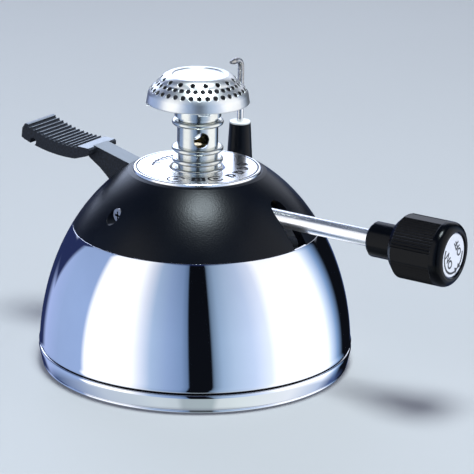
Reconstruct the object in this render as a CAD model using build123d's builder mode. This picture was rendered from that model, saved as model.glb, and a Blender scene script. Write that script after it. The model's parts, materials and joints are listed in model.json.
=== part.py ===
from build123d import *
import math
import os

# Table-top gas burner with a domed tank housing, millimetres, +Z up.
# Origin: on the burner's vertical axis, in the plane of the feet's soles.
# The control knob's stem runs along +X, the ignition lever along -X and the spark
# electrode stands on the +Y side.

# ---------------------------------------------------------------- driving dimensions
# Dome: the outside of the shell and of the cap is one half ellipse turned about Z.
DOME_R = 45.8
DOME_MID_Z = 3.6
DOME_RISE = 60.4
SHELL_BOTTOM = 6.7
SHELL_TOP = 41.2
SHELL_WALL = 0.8
CAP_TOP = 58.2
CAP_WALL = 2.2

# Base ring and bottom
RING_R = 45.95
RING_FOOT_R = 45.2
RING_BOTTOM = 0.5
RING_TOP = 5.85
PLATE_Z = 1.5
PLATE_THICK = 1.2
BOTTOM_R = 43.3
FOOT_PITCH_R = 34.0
FOOT_R = 4.5
SCREW_PITCH_R = 20.0

# Tank
TANK_R = 38.0
TANK_FLOOR = 6.0
TANK_SEAM = 16.0
TANK_ROOF = 26.0
TANK_WALL = 2.0
NECK_R = 9.0
NECK_TOP = 32.0

# Refill valve, on the axis under the tank
REFILL_MOUTH = 0.8
REFILL_BORE_R = 2.0
REFILL_SEAT = 4.6
REFILL_BODY_R = 5.5
REFILL_TOP = 13.0
REFILL_TRAVEL_ROOM = 12.0

# Gas valve, jet and control stem
STEM_Z = 48.5
STEM_R = 2.5
VALVE_R = 7.5
VALVE_TOP = 54.5
FLANGE_Z = 32.7
CHASSIS_Z = 35.0
CHASSIS_THICK = 1.2
GLAND_X = 19.0
JET_TOP = 65.6
CHANNEL_R = 0.6

# Knob
KNOB_NECK_X = 59.1
KNOB_GRIP_X = 67.6
KNOB_FACE_X = 84.8
KNOB_R = 9.1
KNOB_NECK_R = 5.0
DIAL_R = 6.2

# Burner tube, from the top plate to the head
TOP_PLATE_R = 18.4
TOP_PLATE_Z = 57.0
TOP_PLATE_TOP = 58.95
TUBE_R = 5.9
BEAD_CENTRE_R = 6.7
BEAD_R = 0.75
COLLAR_BEADS = (58.6, 61.3)
SLEEVE_BEADS = (64.6, 72.45)
COLLAR_TOP = SLEEVE_BEADS[0] - BEAD_R - 0.1
MIX_R = 5.2
MIX_BORE_R = 4.4
RUNNING_GAP = 0.05
AIR_HOLE_R = 2.32
AIR_HOLE_Z = 68.2
AIR_HOLE_AZ = -45.4
TUBE_HOLE_AZ = -41.0

# Burner head
HEAD_R = 14.78
HEAD_RIM_Z = 78.3
HEAD_TOP = 86.5
HEAD_WALL = 0.6
PORT_R = 0.74
TAB_AZ = -48.6

# Spark electrode
ELECTRODE_Y = 22.2
ELECTRODE_R = 0.92
TOWER_TOP = 67.1

# Ignition lever and piezo igniter
PIVOT_X = -13.0
PIVOT_Z = 45.0
PIVOT_PIN_R = 1.25
ARM_WIDTH = 6.5
PAD_WIDTH = 13.4
ARM_TOP_AT_AXIS = 50.9
ARM_SLOPE = 14.8
PIEZO_X = -25.0
NOSE_R = 1.5
NOSE_Z = 49.0
PLUNGER_TOP = 47.38

# Cap screws stand either side of the lever
CAP_SCREW_AZ = 107.7
CAP_SCREW_Z = 49.3

os.makedirs("parts", exist_ok=True)


def save(piece, name):
    """Label a finished piece and write its STEP file."""
    piece.part.label = name
    export_step(piece.part, f"parts/{name}.step")


def dome_radius(z):
    """Radius of the dome's outside at height z."""
    return DOME_R * math.sqrt(1 - ((z - DOME_MID_Z) / DOME_RISE) ** 2)


def dome_point(z, inset=0.0):
    """Point (r, z) of the dome's outline, moved inwards along its normal."""
    r = dome_radius(z)
    normal = Vector(r / DOME_R**2, (z - DOME_MID_Z) / DOME_RISE**2).normalized()
    return (r - inset * normal.X, z - inset * normal.Y)


def dome_arc(z_low, z_high, inset=0.0):
    """Smooth run of the dome's outline between two heights; call it in a BuildLine."""
    heights = [z_low + (z_high - z_low) * step / 6 for step in range(7)]
    return Spline(*[dome_point(z, inset) for z in heights])


def radial_plane(azimuth, reach, z):
    """Plane that faces outwards, reach from the axis, at this azimuth and height."""
    a = math.radians(azimuth)
    outwards = Vector(math.cos(a), math.sin(a), 0)
    return Plane(
        origin=outwards * reach + Vector(0, 0, z), x_dir=(0, 0, 1), z_dir=outwards
    )


def ring_section(r_in, r_out, z_low, z_high):
    """Rectangle in the XZ plane that revolves into a ring; call it in a BuildSketch."""
    with Locations(((r_in + r_out) / 2, (z_low + z_high) / 2)):
        Rectangle(r_out - r_in, z_high - z_low)


def cord_radii(points):
    """Largest bend radius at each inner point that its two runs leave room for."""
    radii = []
    for before, here, after in zip(points, points[1:], points[2:]):
        run_in = Vector(*here) - Vector(*before)
        run_out = Vector(*after) - Vector(*here)
        half_turn = math.radians(run_in.get_angle(run_out) / 2)
        shorter = min(run_in.length, run_out.length)
        radii.append(0.45 * shorter / math.tan(half_turn))
    return radii


# ---------------------------------------------------------------- base
RING_STEP_R = 45.3
SPIGOT_R = 44.6
SPIGOT_TOP = 9.0
RING_INNER_R = 43.4
FLANGE_INNER_R = 40.0

with BuildPart() as base_ring:
    with BuildSketch(Plane.XZ):
        with BuildLine():
            Polyline(
                (FLANGE_INNER_R, RING_BOTTOM),
                (RING_FOOT_R - 0.4, RING_BOTTOM),
                (RING_FOOT_R - 0.2, RING_BOTTOM + 0.2),
                (RING_FOOT_R - 0.2, RING_BOTTOM + 0.5),
                (RING_FOOT_R - 0.6, RING_BOTTOM + 0.6),
                (RING_FOOT_R - 0.6, RING_BOTTOM + 0.85),
                (RING_FOOT_R, RING_BOTTOM + 0.95),
                (RING_R, RING_TOP - 0.4),
                (RING_R - 0.1, RING_TOP - 0.1),
                (RING_R - 0.3, RING_TOP),
                (RING_STEP_R, RING_TOP),
                (RING_STEP_R, SHELL_BOTTOM),
                (SPIGOT_R, SHELL_BOTTOM),
                (SPIGOT_R, SPIGOT_TOP),
                (RING_INNER_R, SPIGOT_TOP),
                (RING_INNER_R, PLATE_Z),
                (FLANGE_INNER_R, PLATE_Z),
                close=True,
            )
        make_face()
    revolve(axis=Axis.Z)
save(base_ring, "base_ring")

plate_top = PLATE_Z + PLATE_THICK
FILLER_HOLE_R = 8.3
FOOT_STUD_R = 1.8
BOTTOM_SCREW_R = 1.25
with BuildPart() as bottom_plate:
    with BuildSketch(Plane.XY.offset(PLATE_Z)):
        Circle(BOTTOM_R)
        Circle(FILLER_HOLE_R, mode=Mode.SUBTRACT)
        with PolarLocations(FOOT_PITCH_R, 4, start_angle=45):
            Circle(FOOT_STUD_R, mode=Mode.SUBTRACT)
        with PolarLocations(SCREW_PITCH_R, 3):
            Circle(BOTTOM_SCREW_R, mode=Mode.SUBTRACT)
    extrude(amount=PLATE_THICK)
    with BuildSketch(Plane.XY.offset(PLATE_Z)):
        Circle(28.0)
        Circle(24.0, mode=Mode.SUBTRACT)
    extrude(amount=0.5, mode=Mode.SUBTRACT)
save(bottom_plate, "bottom_plate")

with BuildPart() as rubber_feet:
    with BuildSketch():
        with PolarLocations(FOOT_PITCH_R, 4, start_angle=45):
            Circle(FOOT_R)
    extrude(amount=PLATE_Z)
    chamfer(rubber_feet.edges().group_by(Axis.Z)[0], 0.4)
    with BuildSketch(Plane.XY.offset(PLATE_Z)):
        with PolarLocations(FOOT_PITCH_R, 4, start_angle=45):
            Circle(FOOT_STUD_R)
    extrude(amount=PLATE_THICK + 0.6)
save(rubber_feet, "rubber_feet")

SCREW_HEAD_R = 2.4
with BuildPart() as bottom_screws:
    with BuildSketch(Plane.XY.offset(0.6)):
        with PolarLocations(SCREW_PITCH_R, 3):
            Circle(SCREW_HEAD_R)
    extrude(amount=PLATE_Z - 0.6)
    fillet(bottom_screws.edges().group_by(Axis.Z)[0], 0.35)
    with BuildSketch(Plane.XY.offset(PLATE_Z)):
        with PolarLocations(SCREW_PITCH_R, 3):
            Circle(BOTTOM_SCREW_R)
    extrude(amount=4.0)
    with BuildSketch(Plane.XY.offset(0.6)):
        with PolarLocations(SCREW_PITCH_R, 3):
            Rectangle(2.6, 0.6)
            Rectangle(0.6, 2.6)
    extrude(amount=0.5, mode=Mode.SUBTRACT)
save(bottom_screws, "bottom_screws")

# ---------------------------------------------------------------- housing
LIP_R = 46.0
LIP_TOP = 7.3
with BuildPart() as lower_shell:
    with BuildSketch(Plane.XZ):
        with BuildLine():
            outer = dome_arc(LIP_TOP + 0.3, SHELL_TOP)
            Line(outer @ 1, dome_point(SHELL_TOP, SHELL_WALL))
            inner = dome_arc(LIP_TOP + 0.3, SHELL_TOP, SHELL_WALL)
            Polyline(
                inner @ 0,
                (SPIGOT_R + 0.1, SHELL_BOTTOM),
                (LIP_R - 0.15, SHELL_BOTTOM),
                (LIP_R, SHELL_BOTTOM + 0.15),
                (LIP_R, LIP_TOP - 0.1),
                outer @ 0,
            )
        make_face()
    revolve(axis=Axis.Z)
save(lower_shell, "lower_shell")

RECESS_R = TOP_PLATE_R + 0.1
CAP_LIP_R = 19.3
PLATE_SEAT_R = 15.5
CAP_SPIGOT_R = dome_radius(SHELL_TOP) - 1.4
SPIGOT_DEPTH = 3.0
STEM_SLOT = 6.2
STEM_SLOT_TOP = 53.4
LEVER_SLOT = 7.3
LEVER_SLOT_X = -21.1
LEVER_SLOT_BOTTOM = 46.0
SCREW_BOSS_R = 3.8
SCREW_RECESS_R = 2.2
SCREW_SEAT = 27.0
LUG_REACH = 22.0
LUG_THICK = 1.2
TOWER_FOOT_R = 3.75
TOWER_TIP_R = 3.15
INSULATOR_R = 1.9

with BuildPart() as upper_cap:
    # Bosses for the two cap screws, trimmed inside the thickness of the wall
    for side in (-1, 1):
        with BuildSketch(
            radial_plane(side * CAP_SCREW_AZ, LUG_REACH + LUG_THICK + 0.1, CAP_SCREW_Z)
        ):
            Circle(SCREW_BOSS_R)
        extrude(amount=7.5)
    with BuildSketch(Plane.XZ):
        with BuildLine():
            trim = dome_arc(SHELL_TOP, CAP_TOP - 0.5, CAP_WALL / 2)
            Polyline(trim @ 1, (DOME_R, CAP_TOP), (DOME_R, SHELL_TOP), trim @ 0)
        make_face()
    revolve(axis=Axis.Z, mode=Mode.SUBTRACT)
    # Wall, rim, recess for the top plate and spigot into the lower shell
    with BuildSketch(Plane.XZ):
        with BuildLine():
            outer = dome_arc(SHELL_TOP + 0.02, CAP_TOP - 0.3)
            lid = Polyline(
                outer @ 1,
                (CAP_LIP_R - 0.3, CAP_TOP),
                (RECESS_R, CAP_TOP),
                (RECESS_R, TOP_PLATE_Z),
                (PLATE_SEAT_R, TOP_PLATE_Z),
                (PLATE_SEAT_R, TOP_PLATE_Z - 1.6),
                (CAP_LIP_R - 1.5, TOP_PLATE_Z - 1.6),
            )
            inner = Spline(
                lid @ 1,
                dome_point(54.0, CAP_WALL),
                dome_point(50.0, CAP_WALL),
                dome_point(46.0, CAP_WALL),
                dome_point(SHELL_TOP + 2.0, CAP_WALL),
            )
            Polyline(
                inner @ 1,
                (CAP_SPIGOT_R - 1.4, SHELL_TOP),
                (CAP_SPIGOT_R - 1.4, SHELL_TOP - SPIGOT_DEPTH),
                (CAP_SPIGOT_R, SHELL_TOP - SPIGOT_DEPTH),
                (CAP_SPIGOT_R, SHELL_TOP + 0.02),
                outer @ 0,
            )
        make_face()
    revolve(axis=Axis.Z)
    # Tower that carries the electrode, with a socket under it inside the cap
    with BuildSketch(Plane.XZ.offset(-ELECTRODE_Y)):
        with BuildLine():
            Polyline(
                (0, 52.0),
                (TOWER_FOOT_R, 52.0),
                (TOWER_FOOT_R, 56.5),
                (TOWER_TIP_R, TOWER_TOP),
                (0, TOWER_TOP),
                close=True,
            )
        make_face()
    revolve(axis=Axis((0, ELECTRODE_Y, 0), (0, 0, 1)))
    with BuildSketch(Plane.XY.offset(TOWER_TOP)):
        with Locations((0, ELECTRODE_Y)):
            Circle(INSULATOR_R + 0.03)
    extrude(amount=-20, mode=Mode.SUBTRACT)
    for side in (-1, 1):
        with BuildSketch(radial_plane(side * CAP_SCREW_AZ, SCREW_SEAT, CAP_SCREW_Z)):
            Circle(SCREW_RECESS_R)
        extrude(amount=8, mode=Mode.SUBTRACT)
        with BuildSketch(radial_plane(side * CAP_SCREW_AZ, SCREW_SEAT, CAP_SCREW_Z)):
            Circle(BOTTOM_SCREW_R)
        extrude(amount=-8, mode=Mode.SUBTRACT)
    # Round-topped slot for the control stem, open at the cap's lower edge
    with BuildSketch(Plane.YZ.offset(20.0)):
        with Locations((0, (STEM_SLOT_TOP + 30) / 2)):
            SlotOverall(STEM_SLOT_TOP - 30, STEM_SLOT, rotation=90)
    extrude(amount=30, mode=Mode.SUBTRACT)
    # Slot for the lever
    with BuildSketch(Plane.XZ):
        with BuildLine():
            Polyline(
                (LEVER_SLOT_X, CAP_TOP + 2),
                (LEVER_SLOT_X, LEVER_SLOT_BOTTOM + 6),
                (LEVER_SLOT_X - 4, LEVER_SLOT_BOTTOM),
                (LEVER_SLOT_X - 20, LEVER_SLOT_BOTTOM),
                (LEVER_SLOT_X - 20, CAP_TOP + 2),
                close=True,
            )
        make_face()
    extrude(amount=LEVER_SLOT / 2, both=True, mode=Mode.SUBTRACT)
save(upper_cap, "upper_cap")

with BuildPart() as cap_screws:
    for side in (-1, 1):
        with BuildSketch(radial_plane(side * CAP_SCREW_AZ, SCREW_SEAT, CAP_SCREW_Z)):
            Circle(1.95)
        extrude(amount=1.5)
        with BuildSketch(radial_plane(side * CAP_SCREW_AZ, SCREW_SEAT, CAP_SCREW_Z)):
            Circle(BOTTOM_SCREW_R - 0.02)
        extrude(amount=-6.5)
        with BuildSketch(
            radial_plane(side * CAP_SCREW_AZ, SCREW_SEAT + 1.5, CAP_SCREW_Z)
        ):
            Rectangle(2.4, 0.6)
            Rectangle(0.6, 2.4)
        extrude(amount=-0.8, mode=Mode.SUBTRACT)
save(cap_screws, "cap_screws")

PLATE_HOLE_R = 8.0
with BuildPart() as top_plate:
    with BuildSketch(Plane.XZ):
        with BuildLine():
            Polyline(
                (PLATE_HOLE_R, TOP_PLATE_Z),
                (TOP_PLATE_R, TOP_PLATE_Z),
                (TOP_PLATE_R, TOP_PLATE_TOP - 0.2),
                (TOP_PLATE_R - 0.2, TOP_PLATE_TOP),
                (TOP_PLATE_R - 0.6, TOP_PLATE_TOP),
                (TOP_PLATE_R - 0.75, TOP_PLATE_TOP - 0.35),
                (TOP_PLATE_R - 0.95, TOP_PLATE_TOP - 0.35),
                (TOP_PLATE_R - 1.1, TOP_PLATE_TOP),
                (PLATE_HOLE_R + 0.2, TOP_PLATE_TOP),
                (PLATE_HOLE_R, TOP_PLATE_TOP - 0.2),
                close=True,
            )
        make_face()
    revolve(axis=Axis.Z)
save(top_plate, "top_plate")

# ---------------------------------------------------------------- tank
with BuildPart() as tank_lower:
    with BuildSketch(Plane.XZ):
        with BuildLine():
            Polyline(
                (REFILL_BODY_R + 0.05, REFILL_MOUTH),
                (FILLER_HOLE_R - 0.3, REFILL_MOUTH),
                (FILLER_HOLE_R - 0.3, TANK_FLOOR),
                (TANK_R - 3, TANK_FLOOR),
                (TANK_R, TANK_FLOOR + 3),
                (TANK_R, TANK_SEAM),
                (TANK_R - TANK_WALL, TANK_SEAM),
                (TANK_R - TANK_WALL, TANK_FLOOR + 3.8),
                (TANK_R - 3.8, TANK_FLOOR + TANK_WALL),
                (REFILL_BODY_R + 2.6, TANK_FLOOR + TANK_WALL),
                (REFILL_BODY_R + 2.6, REFILL_TOP - 1.5),
                (REFILL_BODY_R + 0.05, REFILL_TOP - 1.5),
                close=True,
            )
        make_face()
    revolve(axis=Axis.Z)
    with BuildSketch(Plane.XY.offset(plate_top)):
        with PolarLocations(SCREW_PITCH_R, 3):
            Circle(3.6)
    extrude(amount=TANK_FLOOR - plate_top)
    with BuildSketch(Plane.XY.offset(plate_top)):
        with PolarLocations(SCREW_PITCH_R, 3):
            Circle(BOTTOM_SCREW_R + 0.02)
    extrude(amount=3.0, mode=Mode.SUBTRACT)
save(tank_lower, "tank_lower")

SHANK_R = 6.0
LID_LIP = 1.2
with BuildPart() as tank_upper:
    with BuildSketch(Plane.XZ):
        with BuildLine():
            Polyline(
                (TANK_R, TANK_SEAM),
                (TANK_R, TANK_ROOF - 4),
                (TANK_R - 4, TANK_ROOF),
                (NECK_R, TANK_ROOF),
                (NECK_R, NECK_TOP),
                (SHANK_R + 0.05, NECK_TOP),
                (SHANK_R + 0.05, TANK_ROOF - TANK_WALL),
                (TANK_R - 4.8, TANK_ROOF - TANK_WALL),
                (TANK_R - TANK_WALL, TANK_ROOF - 4.8),
                (TANK_R - TANK_WALL, TANK_SEAM + 2 * LID_LIP),
                (TANK_R - TANK_WALL - LID_LIP, TANK_SEAM + LID_LIP),
                (TANK_R - TANK_WALL - LID_LIP, TANK_SEAM - LID_LIP),
                (TANK_R - TANK_WALL - 0.05, TANK_SEAM - LID_LIP),
                (TANK_R - TANK_WALL - 0.05, TANK_SEAM),
                close=True,
            )
        make_face()
    revolve(axis=Axis.Z)
save(tank_upper, "tank_upper")

# ---------------------------------------------------------------- refill valve
CHAMBER_R = 3.0
REFILL_ROD_R = 1.0
SEAL_THICK = 0.8
STEM_FLANGE_Z = REFILL_SEAT + SEAL_THICK + 0.05
STEM_FLANGE_TOP = STEM_FLANGE_Z + 0.95
with BuildPart() as refill_valve_body:
    with BuildSketch(Plane.XZ):
        with BuildLine():
            Polyline(
                (REFILL_BORE_R, REFILL_MOUTH),
                (REFILL_BODY_R, REFILL_MOUTH),
                (REFILL_BODY_R, REFILL_TOP),
                (REFILL_ROD_R + 0.4, REFILL_TOP),
                (REFILL_ROD_R + 0.4, REFILL_TRAVEL_ROOM),
                (CHAMBER_R, REFILL_TRAVEL_ROOM),
                (CHAMBER_R, REFILL_SEAT),
                (REFILL_BORE_R, REFILL_SEAT),
                close=True,
            )
        make_face()
    revolve(axis=Axis.Z)
save(refill_valve_body, "refill_valve_body")

with BuildPart() as refill_seal:
    with BuildSketch(Plane.XZ):
        ring_section(1.5, CHAMBER_R - 0.05, REFILL_SEAT, REFILL_SEAT + SEAL_THICK)
    revolve(axis=Axis.Z)
save(refill_seal, "refill_seal")

with BuildPart() as refill_stem:
    with BuildSketch(Plane.XY.offset(REFILL_SEAT + 0.1)):
        Circle(1.4)
    extrude(amount=STEM_FLANGE_Z - REFILL_SEAT - 0.1)
    with BuildSketch(Plane.XY.offset(STEM_FLANGE_Z)):
        Circle(CHAMBER_R - 0.3)
    extrude(amount=STEM_FLANGE_TOP - STEM_FLANGE_Z)
    with BuildSketch(Plane.XY.offset(STEM_FLANGE_TOP)):
        Circle(REFILL_ROD_R)
    extrude(amount=4.0)
    with BuildSketch(Plane.XY.offset(REFILL_SEAT + 0.1)):
        Rectangle(0.6, 3.0)
    extrude(amount=0.4, mode=Mode.SUBTRACT)
save(refill_stem, "refill_stem")

REFILL_WIRE_R = 0.28
REFILL_COILS = 5
spring_bottom = STEM_FLANGE_TOP + 0.05
spring_rise = REFILL_TRAVEL_ROOM - 0.05 - spring_bottom - 2 * REFILL_WIRE_R
with BuildPart() as refill_spring:
    with BuildLine() as coil:
        Helix(
            spring_rise / REFILL_COILS,
            spring_rise,
            2.1,
            center=(0, 0, spring_bottom + REFILL_WIRE_R),
        )
    with BuildSketch(Plane(origin=coil.line @ 0, z_dir=coil.line % 0)):
        Circle(REFILL_WIRE_R)
    sweep(path=coil.line, is_frenet=True)
save(refill_spring, "refill_spring")

# ---------------------------------------------------------------- gas valve
FLANGE_R = 8.9
SHANK_BOTTOM = 25.0
FILTER_R = 3.0
FILTER_Z = 31.0
BOSS_R = 5.2
SEAT_X = 2.5
VALVE_CHAMBER_R = 1.8
STEM_HOUSING_X = 9.0
NEEDLE_R = 1.2
NEEDLE_SHANK_R = 1.0
PACKING_R = 3.8
PACKING_X = 15.5
with BuildPart() as valve_body:
    with BuildSketch(Plane.XZ):
        with BuildLine():
            Polyline(
                (0, SHANK_BOTTOM),
                (SHANK_R, SHANK_BOTTOM),
                (SHANK_R, FLANGE_Z),
                (FLANGE_R, FLANGE_Z),
                (FLANGE_R, CHASSIS_Z),
                (VALVE_R, CHASSIS_Z),
                (VALVE_R, VALVE_TOP - 1),
                (VALVE_R - 1, VALVE_TOP),
                (0, VALVE_TOP),
                close=True,
            )
        make_face()
    revolve(axis=Axis.Z)
    with BuildSketch(Plane.YZ):
        with Locations((0, STEM_Z)):
            Circle(BOSS_R)
    extrude(amount=GLAND_X)
    # Horizontal passages: seat, needle chamber, stem housing, packing chamber
    for x_from, x_to, radius in (
        (0, SEAT_X, CHANNEL_R),
        (SEAT_X, STEM_HOUSING_X, VALVE_CHAMBER_R),
        (STEM_HOUSING_X, PACKING_X, STEM_R + RUNNING_GAP),
        (PACKING_X, GLAND_X, PACKING_R),
    ):
        with BuildSketch(Plane.YZ.offset(x_from)):
            with Locations((0, STEM_Z)):
                Circle(radius)
        extrude(amount=x_to - x_from, mode=Mode.SUBTRACT)
    # Vertical passages: filter and wick socket, feed to the chamber, way up to the jet
    for x_at, z_from, z_to, radius in (
        (0, SHANK_BOTTOM, FILTER_Z + 2, FILTER_R + 0.05),
        (4.5, FILTER_Z + 4, STEM_Z, CHANNEL_R),
        (0, STEM_Z, VALVE_TOP, CHANNEL_R),
        (0, 50.5, VALVE_TOP, 3.0),
    ):
        with BuildSketch(Plane.XY.offset(z_from)):
            with Locations((x_at, 0)):
                Circle(radius)
        extrude(amount=z_to - z_from, mode=Mode.SUBTRACT)
    with BuildSketch(Plane.XZ):
        with BuildLine():
            Polyline((0, 33), (5.1, 35), (5.1, 36), (0, 34.6), close=True)
        make_face()
    extrude(amount=CHANNEL_R, both=True, mode=Mode.SUBTRACT)
save(valve_body, "valve_body")

with BuildPart() as valve_gasket:
    with BuildSketch(Plane.XZ):
        ring_section(SHANK_R + 0.05, NECK_R - 0.2, NECK_TOP, FLANGE_Z)
    revolve(axis=Axis.Z)
save(valve_gasket, "valve_gasket")

with BuildPart() as flow_filter:
    with BuildSketch(Plane.XY.offset(FILTER_Z)):
        Circle(FILTER_R)
    extrude(amount=2.0)
save(flow_filter, "flow_filter")

with BuildPart() as wick:
    with BuildSketch(Plane.XY.offset(14.5)):
        Circle(FILTER_R)
    extrude(amount=FILTER_Z - 14.5)
save(wick, "wick")

NUT_THICK = 3.0
with BuildPart() as valve_nut:
    with BuildSketch(Plane.XY.offset(CHASSIS_Z + CHASSIS_THICK)):
        RegularPolygon(9.0, 6, major_radius=False)
        Circle(VALVE_R + 0.03, mode=Mode.SUBTRACT)
    extrude(amount=NUT_THICK)
save(valve_nut, "valve_nut")

GLAND_BORE_R = STEM_R + RUNNING_GAP
with BuildPart() as gland_nut:
    with BuildSketch(Plane.YZ.offset(GLAND_X)):
        with Locations((0, STEM_Z)):
            RegularPolygon(4.5, 6, major_radius=False)
            Circle(GLAND_BORE_R, mode=Mode.SUBTRACT)
    extrude(amount=3.0)
    with BuildSketch(Plane.YZ.offset(PACKING_X + 1.3)):
        with Locations((0, STEM_Z)):
            Circle(PACKING_R - 0.03)
            Circle(GLAND_BORE_R, mode=Mode.SUBTRACT)
    extrude(amount=GLAND_X - PACKING_X - 1.3)
save(gland_nut, "gland_nut")

STEM_AXIS = Axis((0, 0, STEM_Z), (1, 0, 0))
with BuildPart() as stem_seal:
    with BuildSketch(Plane.XZ):
        with Locations((PACKING_X + 0.65, STEM_Z + (STEM_R + PACKING_R) / 2)):
            Circle((PACKING_R - STEM_R) / 2 - 0.03)
    revolve(axis=STEM_AXIS)
save(stem_seal, "stem_seal")

NEEDLE_TIP_X = 2.2
with BuildPart() as valve_needle:
    with BuildSketch(Plane.XZ):
        with BuildLine():
            Polyline(
                (NEEDLE_TIP_X, STEM_Z),
                (NEEDLE_TIP_X, STEM_Z + 0.3),
                (SEAT_X + 1.2, STEM_Z + NEEDLE_R),
                (STEM_HOUSING_X - 1.0, STEM_Z + NEEDLE_R),
                (STEM_HOUSING_X - 1.0, STEM_Z + NEEDLE_SHANK_R),
                (STEM_HOUSING_X + 4.0, STEM_Z + NEEDLE_SHANK_R),
                (STEM_HOUSING_X + 4.0, STEM_Z),
                close=True,
            )
        make_face()
    revolve(axis=STEM_AXIS)
save(valve_needle, "valve_needle")

# Rotating stem: a drilled inner end drives the needle, the outer end carries the knob
STEM_END_X = 80.0
with BuildPart() as control_stem:
    with BuildSketch(Plane.YZ.offset(STEM_HOUSING_X + 0.2)):
        with Locations((0, STEM_Z)):
            Circle(STEM_R)
    extrude(amount=STEM_END_X - STEM_HOUSING_X - 0.2)
    chamfer(control_stem.edges().group_by(Axis.X)[-1], 0.4)
    with BuildSketch(Plane.YZ.offset(STEM_HOUSING_X)):
        with Locations((0, STEM_Z)):
            Circle(NEEDLE_SHANK_R + RUNNING_GAP)
    extrude(amount=6.0, mode=Mode.SUBTRACT)
    with BuildSketch(Plane.YZ.offset(72.0)):
        with Locations((0, STEM_Z + STEM_R)):
            Rectangle(6, 1.0)
    extrude(amount=8.0, mode=Mode.SUBTRACT)
save(control_stem, "control_stem")

COLLAR_BOTTOM = 55.6
MIX_BOTTOM = 57.65
with BuildPart() as jet_holder:
    with BuildSketch(Plane.XZ):
        with BuildLine():
            Polyline(
                (CHANNEL_R, 50.6),
                (2.97, 50.6),
                (2.97, VALVE_TOP),
                (TUBE_R, VALVE_TOP),
                (TUBE_R, COLLAR_BOTTOM),
                (MIX_R - 0.02, COLLAR_BOTTOM),
                (MIX_R - 0.02, MIX_BOTTOM),
                (2.6, MIX_BOTTOM),
                (2.6, 61.0),
                (CHANNEL_R, 61.0),
                close=True,
            )
        make_face()
    revolve(axis=Axis.Z)
save(jet_holder, "jet_holder")

JET_R = 1.75
with BuildPart() as gas_jet:
    with BuildSketch(Plane.XY.offset(61.0)):
        RegularPolygon(2.1, 6, major_radius=False)
    extrude(amount=2.0)
    with BuildSketch(Plane.XY.offset(63.0)):
        Circle(JET_R)
    extrude(amount=JET_TOP - 63.0)
    chamfer(gas_jet.edges().group_by(Axis.Z)[-1], 0.35)
    with BuildSketch(Plane.XY.offset(64.6)):
        Circle(JET_R)
        Circle(JET_R - 0.3, mode=Mode.SUBTRACT)
    extrude(amount=0.3, mode=Mode.SUBTRACT)
    with BuildSketch(Plane.XY.offset(61.0)):
        Circle(0.3)
    extrude(amount=JET_TOP - 61.0, mode=Mode.SUBTRACT)
save(gas_jet, "gas_jet")

# ---------------------------------------------------------------- knob
KNURLS_PER_QUARTER = 12
KNURL_ARC = 60.0
KNURL_R = 0.41
FLAT_OFFSET = KNOB_R - 0.32
BEZEL_X = 81.6
with BuildPart() as knob_grip:
    with BuildSketch(Plane.XZ):
        with BuildLine():
            Polyline(
                (KNOB_NECK_X, STEM_Z + STEM_R + 0.02),
                (KNOB_NECK_X, STEM_Z + KNOB_NECK_R - 0.8),
                (KNOB_NECK_X + 0.8, STEM_Z + KNOB_NECK_R),
                (KNOB_GRIP_X, STEM_Z + KNOB_NECK_R),
                (KNOB_GRIP_X + 0.3, STEM_Z + KNOB_R - 1.9),
                (KNOB_GRIP_X + 2.2, STEM_Z + KNOB_R),
                (BEZEL_X + 1.0, STEM_Z + KNOB_R),
            )
            bezel = ThreePointArc(
                (BEZEL_X + 1.0, STEM_Z + KNOB_R),
                (KNOB_FACE_X - 0.65, STEM_Z + KNOB_R - 0.65),
                (KNOB_FACE_X, STEM_Z + KNOB_R - 2.0),
            )
            Polyline(
                bezel @ 1,
                (KNOB_FACE_X, STEM_Z + DIAL_R + 0.35),
                (KNOB_FACE_X - 1.4, STEM_Z + DIAL_R + 0.15),
                (KNOB_FACE_X - 1.4, STEM_Z + STEM_R + 0.02),
                (KNOB_NECK_X, STEM_Z + STEM_R + 0.02),
            )
        make_face()
    revolve(axis=STEM_AXIS)
    knurl_step = KNURL_ARC / (KNURLS_PER_QUARTER - 1)
    with BuildSketch(Plane.YZ.offset(KNOB_GRIP_X + 1.0)):
        for quarter in range(4):
            first = quarter * 90 + 45 - KNURL_ARC / 2
            for knurl in range(KNURLS_PER_QUARTER):
                angle = math.radians(first + knurl * knurl_step)
                with Locations(
                    (KNOB_R * math.cos(angle), STEM_Z + KNOB_R * math.sin(angle))
                ):
                    Circle(KNURL_R)
    extrude(amount=BEZEL_X - KNOB_GRIP_X - 1.0, mode=Mode.SUBTRACT)
    with BuildSketch(Plane.YZ.offset(KNOB_GRIP_X + 1.0)):
        with Locations((0, STEM_Z)):
            Rectangle(3 * KNOB_R, 3 * KNOB_R)
            Rectangle(2 * FLAT_OFFSET, 2 * FLAT_OFFSET, mode=Mode.SUBTRACT)
    extrude(amount=BEZEL_X - KNOB_GRIP_X - 1.0, mode=Mode.SUBTRACT)
    with BuildSketch(Plane.XY.offset(STEM_Z)):
        with Locations((KNOB_NECK_X + 4.5, 0)):
            Circle(1.25)
    extrude(amount=-8.0, mode=Mode.SUBTRACT)
save(knob_grip, "knob_grip")

with BuildPart() as knob_dial:
    with BuildSketch(Plane.YZ.offset(KNOB_FACE_X - 1.35)):
        with Locations((0, STEM_Z)):
            Circle(DIAL_R)
    extrude(amount=1.0)
    fillet(knob_dial.edges().group_by(Axis.X)[-1], 0.3)
save(knob_dial, "knob_dial")

with BuildPart() as knob_set_screw:
    with BuildSketch(Plane.XY.offset(STEM_Z - STEM_R - 0.02)):
        with Locations((KNOB_NECK_X + 4.5, 0)):
            Circle(1.22)
    extrude(amount=-2.2)
    with BuildSketch(Plane.XY.offset(STEM_Z - STEM_R - 2.22)):
        with Locations((KNOB_NECK_X + 4.5, 0)):
            RegularPolygon(0.65, 6)
    extrude(amount=1.2, mode=Mode.SUBTRACT)
save(knob_set_screw, "knob_set_screw")

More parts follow.
